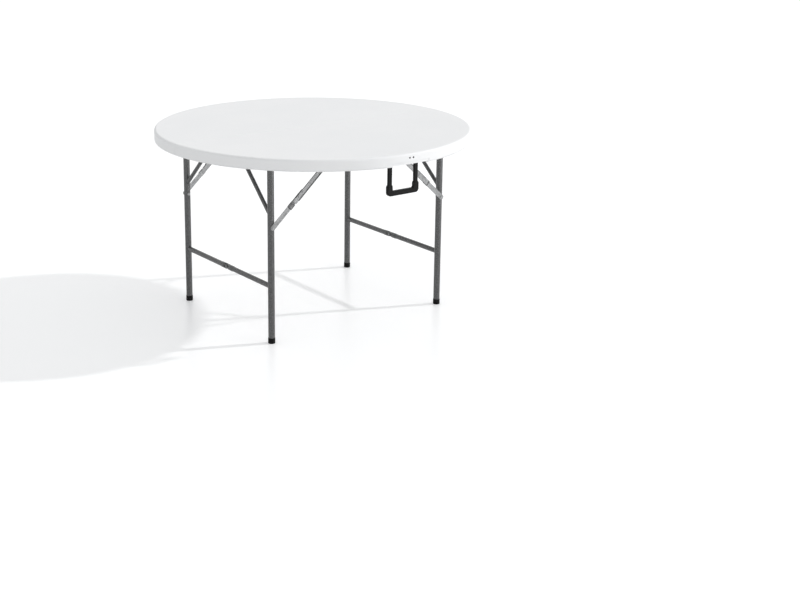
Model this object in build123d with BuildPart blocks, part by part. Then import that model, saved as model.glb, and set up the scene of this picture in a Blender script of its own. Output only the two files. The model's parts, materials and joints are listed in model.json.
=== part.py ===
"""Round folding garden table: two moulded half tops, two folding steel leg frames.

Frame: the origin is on the floor under the middle of the table. +X runs along the
fold line, from the left leg frame to the right one. +Y points from the half that
carries the handle (front) to the other half (rear). +Z is up. Lengths are millimetres.
"""
import os
from math import atan2, cos, hypot, radians, sin, tan

from build123d import *

os.makedirs("parts", exist_ok=True)

# The table as a whole
top_radius = 610.0
table_height = 720.0
leg_inset_x = 184.0
leg_inset_y = 276.0

# Moulded half tops
rim_height = 44.0
rim_width = 34.0
panel_thickness = 16.0
skin = 3.0
fold_gap = 1.0
fold_rim_width = 22.0
top_edge_radius = 9.0
bottom_edge_radius = 5.0
seam_edge_chamfer = 0.8
pocket_corner_radius = 14.0
boss_radius = 8.0

# Moulded dimples that tie the lower skin to the upper one
dimple_mouth_radius = 11.0
dimple_floor_radius = 6.0
dimple_spacing = 88.0
dimple_row_angle = 60.0
dimple_edge_margin = 34.0

# Leg frames
leg_radius = 12.5
leg_wall = 1.2
pivot_wall = 1.5
pivot_inner_gap = 1.5
pivot_end_plate = 3.0
stub_radius = 8.0
stub_flange_radius = 10.0
stub_flange_thickness = 2.0
weld_gap = 0.1
brace_radius = 7.5
brace_wall = 1.0
brace_foot_depth = 240.0
brace_head_gap = 32.5
crossbar_radius = 9.5
crossbar_wall = 1.2
crossbar_stow_x = 81.0

# Foot caps
foot_wall = 0.95
foot_fit = 0.05
foot_height = 21.0
foot_floor = 6.0
foot_edge_radius = 2.0

# Room between the two frames when both lie flat under the top
stow_clearance = 0.5
stack_clearance = 1.0

# Crossbar middle joint, in line with the fold of the top
fitting_radius = 10.5
fitting_length = 23.0
fitting_start = 14.0
knuckle_radius = 7.5
tongue_thickness = 7.0
cheek_thickness = 4.0
knuckle_side_gap = 0.4
crossbar_pin_radius = 2.5
crossbar_pin_head_radius = 4.5
crossbar_pin_head = 1.5
crossbar_notch_clearance = 2.0

# Folding stays, one beside each leg
stay_foot_depth = 279.0
stay_angle = 42.3
right_anchor_rise = 9.0
link_width = 19.0
link_thickness = 2.0
link_to_foot_gap = 0.4
link_slide_gap = 0.3
link_groove_width = 7.0
link_groove_depth = 0.8
link_groove_margin = 20.0
channel_flange = 3.0
channel_wall = 1.5
channel_margin = 17.0
tail_length = 52.0
tail_corner_radius = 3.0
stop_boss_radius = 3.5
stop_boss_height = 1.2
stop_boss_share = 0.46
rivet_radius = 3.0
rivet_head_radius = 5.5
rivet_head = 1.5
rivet_side_gap = 0.1
leg_rivet_head_radius = 6.0
leg_rivet_head = 2.0
spacer_radius = 6.0
pivot_fit = 0.06

# Side rails under the half tops
rail_overhang = 40.0
rail_thickness = 2.0
rail_flange = 25.0
rail_margin = 5.0
rail_to_channel_gap = 0.4
rail_ear_half_width = 20.0
rail_corner_radius = 4.0
rail_screw_count = 5
rail_screw_inset = 36.0

# Saddles that hold the inner ends of the pivot tubes
saddle_inset = 7.5
saddle_width = 20.0
saddle_strap = 1.5
saddle_foot = 16.0
saddle_fit = 0.08

# Fold hinges under the seam
hinge_reach = 250.0
hinge_half_length = 25.0
hinge_leaf_width = 16.0
hinge_leaf = 1.5
hinge_barrel_radius = 3.5
hinge_pin_radius = 1.75
hinge_pin_fit = 0.05
hinge_clearance = 0.7
hinge_knuckle_gap = 0.4
hinge_screw_half_pitch = 15.0

# Carrying handle
handle_inset = 16.0
handle_bottom_depth = 159.0
handle_half_width = 70.0
handle_shoulder = 3.0
handle_shoulder_rise = 6.0
handle_arm_width = 17.0
handle_arm_thickness = 9.0
handle_arm_edge_radius = 2.0
handle_grip_width = 22.0
handle_grip_thickness = 14.0
handle_grip_height = 18.0
handle_grip_rise = 34.0
handle_grip_edge_radius = 2.0
handle_outer_corner = 14.0
handle_inner_corner = 7.0
handle_eye_radius = 6.5
handle_rod_radius = 3.0
handle_rod_head_radius = 4.5
handle_rod_head = 1.5
handle_rod_overhang = 1.0
bracket_sheet = 2.0
bracket_side_gap = 0.5
bracket_half_width = 7.0
bracket_foot = 26.0
bracket_foot_half_width = 10.0
bracket_screw_half_pitch = 5.5

# Rim details at the handle
notch_clearance = 0.5
notch_side_clearance = 10.0
recess_margin = 5.0
recess_height = 10.0
recess_depth = 1.5
rim_screw_half_pitch = 8.0
rim_screw_depth = 16.0
rim_screw_head_radius = 3.5
rim_screw_head = 1.2
rim_screw_sink = 1.5

# Screws
screw_radius = 2.0
screw_head_radius = 4.0
screw_head = 2.0
screw_length = 9.0
screw_hole_depth = 11.0
hinge_screw_head = 1.0
screw_fit = 0.05

# One overrun for every cut
overrun = 2.0

# Worked-out heights and places of the half tops
rim_bottom_z = table_height - rim_height
panel_bottom_z = table_height - panel_thickness
inner_radius = top_radius - rim_width
seam_offset = fold_gap / 2
pocket_offset = seam_offset + fold_rim_width
dimple_depth = panel_thickness - 2 * skin
dimple_slope = (dimple_mouth_radius - dimple_floor_radius) / dimple_depth

# Worked-out places of the leg frames
leg_half_spread_x = inner_radius - leg_inset_x
leg_half_spread_y = inner_radius - leg_inset_y
foot_radius = leg_radius + foot_fit + foot_wall
pivot_radius = leg_radius
pivot_inner_end = pocket_offset + pivot_inner_gap
left_pivot_depth = panel_thickness + foot_radius + stow_clearance
right_pivot_depth = left_pivot_depth + leg_radius + foot_radius + stack_clearance
left_anchor_depth = left_pivot_depth
right_anchor_depth = right_pivot_depth - right_anchor_rise
fitting_end = fitting_start + fitting_length
cheek_start = tongue_thickness / 2 + knuckle_side_gap
cheek_end = cheek_start + cheek_thickness
crossbar_height = table_height - left_pivot_depth - leg_half_spread_x - crossbar_stow_x
crossbar_notch_half_width = fitting_radius + crossbar_notch_clearance

# Worked-out layers of the stays, outward from the legs
leg_face_y = leg_half_spread_y + leg_radius
lower_link_y = leg_half_spread_y + foot_radius + link_to_foot_gap
leg_rivet_head_y = lower_link_y + link_thickness + rivet_side_gap
upper_link_y = leg_rivet_head_y + leg_rivet_head + link_slide_gap
channel_y = upper_link_y + link_thickness
rail_web_y = channel_y + channel_flange + rail_to_channel_gap
rail_back_y = rail_web_y + rail_thickness

# Worked-out places of the fixed metal under the top
rail_depth = left_pivot_depth + stub_radius + rail_margin
rail_bottom_z = table_height - rail_depth
rail_half_length = leg_half_spread_x + rail_overhang
rail_screw_y = rail_back_y + rail_flange / 2
saddle_start = pocket_offset + saddle_inset
saddle_inner_radius = pivot_radius + saddle_fit
saddle_outer_radius = saddle_inner_radius + saddle_strap
saddle_screw_x = saddle_outer_radius + saddle_foot / 2
hinge_places = (-hinge_reach, 0.0, hinge_reach)
hinge_plate_start = hinge_barrel_radius + hinge_knuckle_gap
hinge_leaf_end = hinge_plate_start + hinge_leaf_width
hinge_screw_y = (hinge_plate_start + hinge_leaf_end) / 2

# Worked-out places at the handle
handle_pivot_y = -(inner_radius - handle_inset)
handle_pivot_z = rim_bottom_z
handle_bottom_z = table_height - handle_bottom_depth
handle_grip_z = handle_bottom_z + handle_grip_rise
handle_bar_z = handle_bottom_z + handle_grip_height
arm_outer_x = handle_half_width - handle_shoulder
arm_inner_x = arm_outer_x - handle_arm_width
grip_inner_x = handle_half_width - handle_grip_width
bracket_inner_x = arm_outer_x + bracket_side_gap
bracket_outer_x = bracket_inner_x + bracket_sheet
bracket_screw_x = bracket_inner_x - bracket_foot / 2
notch_depth = handle_arm_thickness / 2 + notch_clearance
notch_half_width = handle_half_width + notch_side_clearance
recess_half_width = notch_half_width + recess_margin
rim_screw_z = table_height - rim_screw_depth
rim_screw_places = ((-rim_screw_half_pitch, rim_screw_z), (rim_screw_half_pitch, rim_screw_z))

sides_x = ((-1, "left"), (1, "right"))
sides_y = ((-1, "front"), (1, "rear"))


def upright(y):
    """Plane that stands across Y; its sketch points are (X, Z) and its normal is -Y."""
    return Plane(origin=(0, y, 0), x_dir=(1, 0, 0), z_dir=(0, -1, 0))


def pivot_z(side_x):
    """Height of a leg frame's pivot; the right frame turns and stows lower."""
    if side_x < 0:
        return table_height - left_pivot_depth
    return table_height - right_pivot_depth


def stay_layout(side_x):
    """The three pivots of a stay as (X, Z) points, and the lengths of its two links.

    The links lie in one line while the leg stands. Once it is flat they meet at the
    height of the pivot tube, which fixes how the whole length is shared between them.
    """
    anchor_depth = left_anchor_depth if side_x < 0 else right_anchor_depth
    tilt = radians(stay_angle)
    rise = stay_foot_depth - anchor_depth
    anchor_run = rise / tan(tilt)
    whole = hypot(rise, anchor_run)
    drop = table_height - anchor_depth - pivot_z(side_x)
    ahead = anchor_run - (stay_foot_depth - table_height + pivot_z(side_x))
    lower = (whole ** 2 - ahead ** 2 - drop ** 2) / (2 * (whole + ahead))
    foot = (side_x * leg_half_spread_x, table_height - stay_foot_depth)
    middle = (foot[0] - side_x * lower * cos(tilt), foot[1] + lower * sin(tilt))
    anchor = (foot[0] - side_x * anchor_run, table_height - anchor_depth)
    return {"foot": foot, "middle": middle, "anchor": anchor,
            "lower": lower, "upper": whole - lower}


def half_disc(radius, offset, side_y, corner=0.0):
    """Half disc on one side of the fold line, its straight edge offset from the line."""
    with BuildSketch() as outline:
        Circle(radius)
        with Locations((0, side_y * (offset + radius / 2))):
            Rectangle(2 * radius, radius, mode=Mode.INTERSECT)
        if corner > 0:
            fillet(outline.vertices(), radius=corner)
    return outline.sketch


def cut_box(low, high):
    """Take away the box between two opposite corners."""
    middle = [(a + b) / 2 for a, b in zip(low, high)]
    with Locations(tuple(middle)):
        Box(*[abs(b - a) for a, b in zip(low, high)], mode=Mode.SUBTRACT)


def cut_round(plane, places, radius, amount):
    """Cut round holes from a plane, at sketch places, to one depth."""
    with BuildSketch(plane) as holes:
        with Locations(*places):
            Circle(radius)
    extrude(holes.sketch, amount=amount, mode=Mode.SUBTRACT)


def rail_screw_places(side_y):
    """Places of the screws through one side rail's flange."""
    reach = rail_half_length - rail_screw_inset
    step = 2 * reach / (rail_screw_count - 1)
    return [(index * step - reach, side_y * rail_screw_y) for index in range(rail_screw_count)]


def saddle_screw_places(side_x, side_y):
    """Places of the two screws through one saddle's feet."""
    y = side_y * (saddle_start + saddle_width / 2)
    middle = side_x * leg_half_spread_x
    return [(middle - saddle_screw_x, y), (middle + saddle_screw_x, y)]


def bracket_screw_places(side_x):
    """Places of the two screws through one handle bracket's foot."""
    x = side_x * bracket_screw_x
    return [(x, handle_pivot_y - bracket_screw_half_pitch),
            (x, handle_pivot_y + bracket_screw_half_pitch)]


def hinge_screw_places(side_y):
    """Places of the screws that hold the hinge leaves to one half's fold rim."""
    return [(x + shift, side_y * hinge_screw_y)
            for x in hinge_places
            for shift in (-hinge_screw_half_pitch, hinge_screw_half_pitch)]


def panel_screw_places(side_y):
    """Places of every screw that goes up into one half's panel."""
    places = rail_screw_places(side_y)
    for side_x, _ in sides_x:
        places += saddle_screw_places(side_x, side_y)
        if side_y < 0:
            places += bracket_screw_places(side_x)
    return places


def dimple_places(side_y):
    """Staggered grid of dimples over one panel, clear of rim, rail and screws."""
    keep_off = dimple_mouth_radius + skin + boss_radius
    rail_low = rail_web_y - dimple_mouth_radius - skin
    rail_high = rail_back_y + rail_flange + dimple_mouth_radius
    row_pitch = dimple_spacing * sin(radians(dimple_row_angle))
    reach = int(inner_radius / row_pitch) + 1
    places = []
    for column in range(-reach, reach + 1):
        for row in range(reach):
            x = (column + (row % 2) / 2) * dimple_spacing
            y = pocket_offset + dimple_edge_margin + row * row_pitch
            inside = hypot(x, y) < inner_radius - dimple_edge_margin
            off_rail = y < rail_low or y > rail_high or abs(x) > rail_half_length
            off_screws = all(hypot(x - a, y - abs(b)) > keep_off
                             for a, b in panel_screw_places(side_y))
            if inside and off_rail and off_screws:
                places.append((x, side_y * y))
    return places


def dimples(side_y, base_z, height, growth):
    """Take away one cone at each dimple, its wall moved outward by the given growth."""
    base_radius = dimple_mouth_radius + growth
    with Locations(*[(x, y, base_z) for x, y in dimple_places(side_y)]):
        Cone(base_radius, base_radius - height * dimple_slope, height,
             align=(Align.CENTER, Align.CENTER, Align.MIN), mode=Mode.SUBTRACT)


def air_space(side_y):
    """Sealed space between the outer and the inner skin of one half top."""
    notch_half = crossbar_notch_half_width + skin
    hinge_half = hinge_half_length + hinge_clearance + skin
    groove_y = side_y * (hinge_barrel_radius + hinge_clearance + skin)
    groove_z = rim_bottom_z + hinge_barrel_radius + hinge_clearance + skin
    with BuildPart() as space:
        with BuildSketch(Plane.XY.offset(rim_bottom_z + skin)):
            add(half_disc(top_radius - skin, seam_offset + skin, side_y))
        extrude(amount=rim_height - 2 * skin)
        top_arc = space.edges().filter_by(GeomType.CIRCLE).group_by(Axis.Z)[-1]
        fillet(top_arc, radius=top_edge_radius - skin)
        with BuildSketch(Plane.XY.offset(rim_bottom_z)):
            add(half_disc(inner_radius + skin, pocket_offset - skin, side_y,
                          pocket_corner_radius + skin))
        extrude(amount=rim_height - panel_thickness + skin, mode=Mode.SUBTRACT)
        cut_box((crossbar_stow_x - notch_half, 0, rim_bottom_z),
                (crossbar_stow_x + notch_half, side_y * pocket_offset,
                 panel_bottom_z + skin))
        for x in hinge_places:
            cut_box((x - hinge_half, 0, rim_bottom_z), (x + hinge_half, groove_y, groove_z))
        cut_box((-recess_half_width, side_y * (inner_radius - rim_width), rim_bottom_z),
                (recess_half_width, side_y * top_radius, rim_bottom_z + notch_depth + skin))
        cut_round(Plane.XY.offset(panel_bottom_z), panel_screw_places(side_y),
                  boss_radius, panel_thickness)
        cut_round(Plane.XY.offset(rim_bottom_z), hinge_screw_places(side_y),
                  screw_radius + skin, screw_hole_depth + skin)
        if side_y < 0:
            cut_round(upright(-top_radius), rim_screw_places,
                      rim_screw_head_radius + skin, -(rim_screw_sink + screw_hole_depth + skin))
        dimples(side_y, panel_bottom_z, panel_thickness - skin, skin)
    return space.part


def half_top(side_y):
    """One moulded half of the table top: a hollow panel with a deep rim all round."""
    hinge_half = hinge_half_length + hinge_clearance
    outside_y = -side_y * overrun
    low_z = rim_bottom_z - overrun
    with BuildPart() as half:
        with BuildSketch(Plane.XY.offset(rim_bottom_z)):
            add(half_disc(top_radius, seam_offset, side_y))
        extrude(amount=rim_height)
        top_arc = half.edges().filter_by(GeomType.CIRCLE).group_by(Axis.Z)[-1]
        fillet(top_arc, radius=top_edge_radius)
        bottom_arc = half.edges().filter_by(GeomType.CIRCLE).group_by(Axis.Z)[0]
        fillet(bottom_arc, radius=bottom_edge_radius)
        with BuildSketch(Plane.YZ.offset(-top_radius)):
            with BuildLine():
                Polyline((side_y * (seam_offset - overrun),
                          table_height - seam_edge_chamfer - overrun),
                         (side_y * (seam_offset + seam_edge_chamfer + overrun),
                          table_height + overrun),
                         (side_y * (seam_offset - overrun), table_height + overrun), close=True)
            make_face()
        extrude(amount=2 * top_radius, mode=Mode.SUBTRACT)
        with BuildSketch(Plane.XY.offset(rim_bottom_z)):
            add(half_disc(inner_radius, pocket_offset, side_y, pocket_corner_radius))
        extrude(amount=rim_height - panel_thickness, mode=Mode.SUBTRACT)
        # The fold rim is open where the left crossbar lies once that frame is flat.
        cut_box((crossbar_stow_x - crossbar_notch_half_width, outside_y, low_z),
                (crossbar_stow_x + crossbar_notch_half_width,
                 side_y * (pocket_offset + overrun), panel_bottom_z))
        for x in hinge_places:
            cut_box((x - hinge_half, outside_y, low_z),
                    (x + hinge_half, side_y * (hinge_leaf_end + hinge_clearance),
                     rim_bottom_z + hinge_leaf))
            cut_box((x - hinge_half, outside_y, low_z),
                    (x + hinge_half, side_y * (hinge_barrel_radius + hinge_clearance),
                     rim_bottom_z + hinge_barrel_radius + hinge_clearance))
        # Both rims are notched at the handle, so that the folded halves close on it.
        cut_box((-notch_half_width, side_y * (inner_radius - rim_width), low_z),
                (notch_half_width, side_y * (top_radius + overrun), rim_bottom_z + notch_depth))
        if side_y < 0:
            with BuildSketch(Plane.XY.offset(rim_bottom_z + notch_depth)):
                Circle(top_radius + overrun)
                Circle(top_radius - recess_depth, mode=Mode.SUBTRACT)
                with Locations((0, -top_radius)):
                    Rectangle(2 * recess_half_width, 2 * rim_width, mode=Mode.INTERSECT)
            extrude(amount=recess_height, mode=Mode.SUBTRACT)
            cut_round(upright(-top_radius - overrun), rim_screw_places,
                      rim_screw_head_radius + screw_fit, -(overrun + rim_screw_sink))
            cut_round(upright(-top_radius), rim_screw_places,
                      screw_radius + screw_fit, -(rim_screw_sink + screw_hole_depth))
        dimples(side_y, panel_bottom_z, dimple_depth, 0)
        add(air_space(side_y), mode=Mode.SUBTRACT)
        cut_round(Plane.XY.offset(panel_bottom_z), panel_screw_places(side_y),
                  screw_radius + screw_fit, screw_hole_depth)
        cut_round(Plane.XY.offset(rim_bottom_z), hinge_screw_places(side_y),
                  screw_radius + screw_fit, screw_hole_depth)
    return half.part


def side_rail(side_y):
    """Steel angle under one half: the leg pivots turn in it, the stays hang on it."""
    ears = []
    pivots = []
    anchors = []
    for side_x, _ in sides_x:
        anchor = stay_layout(side_x)["anchor"]
        pivot = (side_x * leg_half_spread_x, pivot_z(side_x))
        pivots.append(pivot)
        anchors.append(anchor)
        ears.append((pivot[0], pivot[1] - stub_radius - rail_margin))
        ears.append((anchor[0], anchor[1] - rivet_radius - rail_margin))
    with BuildPart() as rail:
        with BuildSketch(upright(side_y * rail_web_y)):
            with Locations((0, (panel_bottom_z + rail_bottom_z) / 2)):
                Rectangle(2 * rail_half_length, panel_bottom_z - rail_bottom_z)
            for x, low_z in ears:
                if low_z < rail_bottom_z:
                    with Locations((x, (panel_bottom_z + low_z) / 2)):
                        RectangleRounded(2 * rail_ear_half_width, panel_bottom_z - low_z,
                                         rail_corner_radius)
            with Locations(*pivots):
                Circle(stub_radius + pivot_fit, mode=Mode.SUBTRACT)
            with Locations(*anchors):
                Circle(rivet_radius + screw_fit, mode=Mode.SUBTRACT)
        extrude(amount=-side_y * rail_thickness)
        with BuildSketch(Plane.XY.offset(panel_bottom_z)):
            with Locations((0, side_y * (rail_web_y + rail_back_y + rail_flange) / 2)):
                Rectangle(2 * rail_half_length, rail_thickness + rail_flange)
        extrude(amount=-rail_thickness)
        cut_round(Plane.XY.offset(panel_bottom_z), rail_screw_places(side_y),
                  screw_radius + screw_fit, -rail_thickness)
    return rail.part


def saddle(side_x, side_y):
    """Strap that holds the inner end of one pivot tube up against the panel."""
    x = side_x * leg_half_spread_x
    axis_z = pivot_z(side_x)
    with BuildPart() as strap:
        with BuildSketch(upright(side_y * saddle_start)):
            with Locations((x, axis_z)):
                Circle(saddle_outer_radius)
            with Locations((x, (axis_z + panel_bottom_z) / 2)):
                Rectangle(2 * saddle_outer_radius, panel_bottom_z - axis_z)
            with Locations((x, panel_bottom_z - saddle_strap / 2)):
                Rectangle(2 * (saddle_outer_radius + saddle_foot), saddle_strap)
            with Locations((x, axis_z)):
                Circle(saddle_inner_radius, mode=Mode.SUBTRACT)
            with Locations((x, (axis_z + panel_bottom_z + overrun) / 2)):
                Rectangle(2 * saddle_inner_radius, panel_bottom_z + overrun - axis_z,
                          mode=Mode.SUBTRACT)
        extrude(amount=-side_y * saddle_width)
        cut_round(Plane.XY.offset(panel_bottom_z), saddle_screw_places(side_x, side_y),
                  screw_radius + screw_fit, -saddle_strap)
    return strap.part


def screws(places, seat_z, head_height):
    """Screws that go straight up, with their heads against a seat at one height."""
    with BuildPart() as group:
        with BuildSketch(Plane.XY.offset(seat_z)):
            with Locations(*places):
                Circle(screw_head_radius)
        extrude(amount=-head_height)
        with BuildSketch(Plane.XY.offset(seat_z)):
            with Locations(*places):
                Circle(screw_radius)
        extrude(amount=screw_length)
    return group.part


def hinge_leaves(side_y):
    """The three leaves on one half's fold rim, each with its barrel knuckles."""
    third = hinge_half_length / 3
    knuckles = ((-third, third),)
    if side_y < 0:
        knuckles = ((-hinge_half_length, -third - hinge_knuckle_gap),
                    (third + hinge_knuckle_gap, hinge_half_length))
    with BuildPart() as leaves:
        for x in hinge_places:
            with BuildSketch(Plane.XY.offset(rim_bottom_z)):
                with Locations((x, side_y * hinge_screw_y)):
                    Rectangle(2 * hinge_half_length, hinge_leaf_width)
                for low, high in knuckles:
                    with Locations((x + (low + high) / 2, side_y * hinge_plate_start / 2)):
                        Rectangle(high - low, hinge_plate_start)
            extrude(amount=hinge_leaf)
            for low, high in knuckles:
                with BuildSketch(Plane.YZ.offset(x + low)):
                    with Locations((0, rim_bottom_z)):
                        Circle(hinge_barrel_radius)
                extrude(amount=high - low)
            cut_round(Plane.YZ.offset(x - hinge_half_length), [(0, rim_bottom_z)],
                      hinge_pin_radius + hinge_pin_fit, 2 * hinge_half_length)
        cut_round(Plane.XY.offset(rim_bottom_z), hinge_screw_places(side_y),
                  screw_radius + screw_fit, hinge_leaf)
    return leaves.part


def handle_bracket(side_x):
    """Bent sheet bracket: an ear beside the handle's arm and a foot over its eye."""
    with BuildPart() as bracket:
        with BuildSketch(Plane.YZ.offset(side_x * bracket_inner_x)):
            with Locations((handle_pivot_y, handle_pivot_z)):
                Circle(bracket_half_width)
            with Locations((handle_pivot_y, (handle_pivot_z + panel_bottom_z) / 2)):
                Rectangle(2 * bracket_half_width, panel_bottom_z - handle_pivot_z)
            with Locations((handle_pivot_y, handle_pivot_z)):
                Circle(handle_rod_radius + screw_fit, mode=Mode.SUBTRACT)
        extrude(amount=side_x * bracket_sheet)
        with BuildSketch(Plane.XY.offset(panel_bottom_z)):
            with Locations((side_x * (bracket_outer_x - bracket_foot / 2), handle_pivot_y)):
                Rectangle(bracket_foot, 2 * bracket_foot_half_width)
        extrude(amount=-bracket_sheet)
        cut_round(Plane.XY.offset(panel_bottom_z), bracket_screw_places(side_x),
                  screw_radius + screw_fit, -bracket_sheet)
    return bracket.part


def handle_loop():
    """Moulded carrying handle: two arms with eyes, and a thicker grip across them."""
    shoulder_z = handle_grip_z + handle_shoulder_rise
    right_half = [(0, handle_bottom_z), (handle_half_width, handle_bottom_z),
                  (handle_half_width, handle_grip_z), (arm_outer_x, shoulder_z),
                  (arm_inner_x, shoulder_z), (grip_inner_x, handle_grip_z),
                  (grip_inner_x, handle_bar_z), (0, handle_bar_z)]
    with BuildPart() as loop:
        with BuildSketch(upright(handle_pivot_y)) as profile:
            with BuildLine():
                Polyline(*right_half, close=True)
            make_face()
            mirror(about=Plane.YZ)
            outer = profile.vertices().filter_by_position(
                Axis.Y, handle_bottom_z - overrun, handle_bottom_z + overrun)
            fillet(outer, radius=handle_outer_corner)
            inner = profile.vertices().filter_by_position(
                Axis.Y, handle_bar_z - overrun, handle_bar_z + overrun)
            fillet(inner, radius=handle_inner_corner)
        extrude(amount=handle_grip_thickness / 2, both=True)
        broad_faces = loop.faces().filter_by(Axis.Y)
        fillet(broad_faces.edges(), radius=handle_grip_edge_radius)
        with BuildSketch(Plane.XY.offset(handle_bar_z)):
            for side_x, _ in sides_x:
                with Locations((side_x * (arm_outer_x + arm_inner_x) / 2, handle_pivot_y)):
                    RectangleRounded(handle_arm_width, handle_arm_thickness,
                                     handle_arm_edge_radius)
        extrude(amount=handle_pivot_z - handle_bar_z)
        for side_x, _ in sides_x:
            with BuildSketch(Plane.YZ.offset(side_x * arm_inner_x)):
                with Locations((handle_pivot_y, handle_pivot_z)):
                    Circle(handle_eye_radius)
            extrude(amount=side_x * handle_arm_width)
        cut_round(Plane.YZ.offset(-handle_half_width), [(handle_pivot_y, handle_pivot_z)],
                  handle_rod_radius + pivot_fit, 2 * handle_half_width)
    return loop.part


def leg(side_x, side_y):
    """Leg tube, from inside its foot cap to the pivot tube that it is welded to."""
    x = side_x * leg_half_spread_x
    across = upright(side_y * (leg_face_y + overrun))
    through = side_y * 2 * (leg_radius + overrun)
    with BuildPart() as tube:
        with BuildSketch(Plane.XY.offset(foot_floor)):
            with Locations((x, side_y * leg_half_spread_y)):
                Circle(leg_radius)
                Circle(leg_radius - leg_wall, mode=Mode.SUBTRACT)
        extrude(amount=pivot_z(side_x) - foot_floor)
        cut_round(across, [(x, pivot_z(side_x))], pivot_radius + weld_gap, through)
        cut_round(across, [stay_layout(side_x)["foot"]], rivet_radius + screw_fit, through)
    return tube.part


def foot_cap(side_x, side_y):
    """Plastic cap on the foot of one leg."""
    place = (side_x * leg_half_spread_x, side_y * leg_half_spread_y)
    with BuildPart() as cap:
        with BuildSketch():
            with Locations(place):
                Circle(foot_radius)
        extrude(amount=foot_height)
        fillet(cap.edges().group_by(Axis.Z)[0], radius=foot_edge_radius)
        cut_round(Plane.XY.offset(foot_floor), [place], leg_radius + foot_fit, foot_height)
    return cap.part


def pivot_tube(side_x, side_y):
    """Tube across the top of one leg, with the stub that turns in the side rail."""
    axis = (side_x * leg_half_spread_x, pivot_z(side_x))
    plate_y = leg_face_y - pivot_end_plate
    flange_y = rail_back_y + rivet_side_gap
    with BuildPart() as tube:
        with BuildSketch(upright(side_y * pivot_inner_end)):
            with Locations(axis):
                Circle(pivot_radius)
                Circle(pivot_radius - pivot_wall, mode=Mode.SUBTRACT)
        extrude(amount=-side_y * (leg_face_y - pivot_inner_end))
        for start, radius, length in ((plate_y, pivot_radius, pivot_end_plate),
                                      (leg_face_y, stub_radius, flange_y - leg_face_y),
                                      (flange_y, stub_flange_radius, stub_flange_thickness)):
            with BuildSketch(upright(side_y * start)):
                with Locations(axis):
                    Circle(radius)
            extrude(amount=-side_y * length)
    return tube.part


def brace(side_x, side_y):
    """Slanted tube from one leg up to its pivot tube."""
    x = side_x * leg_half_spread_x
    foot_z = table_height - brace_foot_depth
    head_y = saddle_start + saddle_width + brace_head_gap
    tilt = atan2(pivot_z(side_x) - foot_z, leg_half_spread_y - head_y)
    length = (pivot_z(side_x) - foot_z) / sin(tilt)
    foot_plane = Plane(origin=(x, side_y * leg_half_spread_y, foot_z), x_dir=(1, 0, 0),
                       z_dir=(0, -side_y * cos(tilt), sin(tilt)))
    with BuildPart() as tube:
        with BuildSketch(foot_plane):
            Circle(brace_radius)
            Circle(brace_radius - brace_wall, mode=Mode.SUBTRACT)
        extrude(amount=length)
        cut_round(Plane.XY, [(x, side_y * leg_half_spread_y)],
                  leg_radius + weld_gap, table_height)
        cut_round(upright(0), [(x, pivot_z(side_x))],
                  pivot_radius + weld_gap, -side_y * leg_face_y)
    return tube.part


def crossbar(side_x, side_y):
    """Half of the low bar between two legs; the front half ends in a tongue, the rear in a fork."""
    x = side_x * leg_half_spread_x
    axis = (x, crossbar_height)
    plates = ((-tongue_thickness / 2, tongue_thickness),)
    if side_y > 0:
        plates = ((-cheek_end, cheek_thickness), (cheek_start, cheek_thickness))
    with BuildPart() as bar:
        with BuildSketch(upright(side_y * fitting_end)):
            with Locations(axis):
                Circle(crossbar_radius)
                Circle(crossbar_radius - crossbar_wall, mode=Mode.SUBTRACT)
        extrude(amount=-side_y * (leg_half_spread_y - fitting_end))
        cut_round(Plane.XY, [(x, side_y * leg_half_spread_y)],
                  leg_radius + weld_gap, table_height)
        with BuildSketch(upright(side_y * fitting_start)):
            with Locations(axis):
                Circle(fitting_radius)
        extrude(amount=-side_y * fitting_length)
        for start, thickness in plates:
            with BuildSketch(Plane.YZ.offset(x + start)):
                with Locations((0, crossbar_height)):
                    Circle(knuckle_radius)
                with Locations((side_y * fitting_start / 2, crossbar_height)):
                    Rectangle(fitting_start, 2 * knuckle_radius)
            extrude(amount=thickness)
        cut_round(Plane.YZ.offset(x - cheek_end), [(0, crossbar_height)],
                  crossbar_pin_radius + screw_fit, 2 * cheek_end)
    return bar.part


def crossbar_pin(side_x):
    """Pin of the crossbar's middle joint, headed on both sides of the fork."""
    x = side_x * leg_half_spread_x
    with BuildPart() as pin:
        for start, radius, length in ((-cheek_end, crossbar_pin_radius, 2 * cheek_end),
                                      (cheek_end, crossbar_pin_head_radius, crossbar_pin_head),
                                      (-cheek_end, crossbar_pin_head_radius, -crossbar_pin_head)):
            with BuildSketch(Plane.YZ.offset(x + start)):
                with Locations((0, crossbar_height)):
                    Circle(radius)
            extrude(amount=length)
    return pin.part


def rivet(place, side_y, steps):
    """Round steps in a row outward along Y; each is a start, an end and a radius."""
    for start, end, radius in steps:
        with BuildSketch(upright(side_y * start)) as step:
            with Locations(place):
                Circle(radius)
        extrude(step.sketch, amount=-side_y * (end - start))


def leg_rivets(side_x):
    """Rivets that carry the lower links of both stays of one frame."""
    inner_face_y = leg_half_spread_y - leg_radius
    steps = ((inner_face_y - rivet_head, inner_face_y, rivet_head_radius),
             (inner_face_y, leg_rivet_head_y, rivet_radius),
             (leg_face_y, lower_link_y - rivet_side_gap, spacer_radius),
             (leg_rivet_head_y, leg_rivet_head_y + leg_rivet_head, leg_rivet_head_radius))
    with BuildPart() as pair:
        for side_y, _ in sides_y:
            rivet(stay_layout(side_x)["foot"], side_y, steps)
    return pair.part


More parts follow.
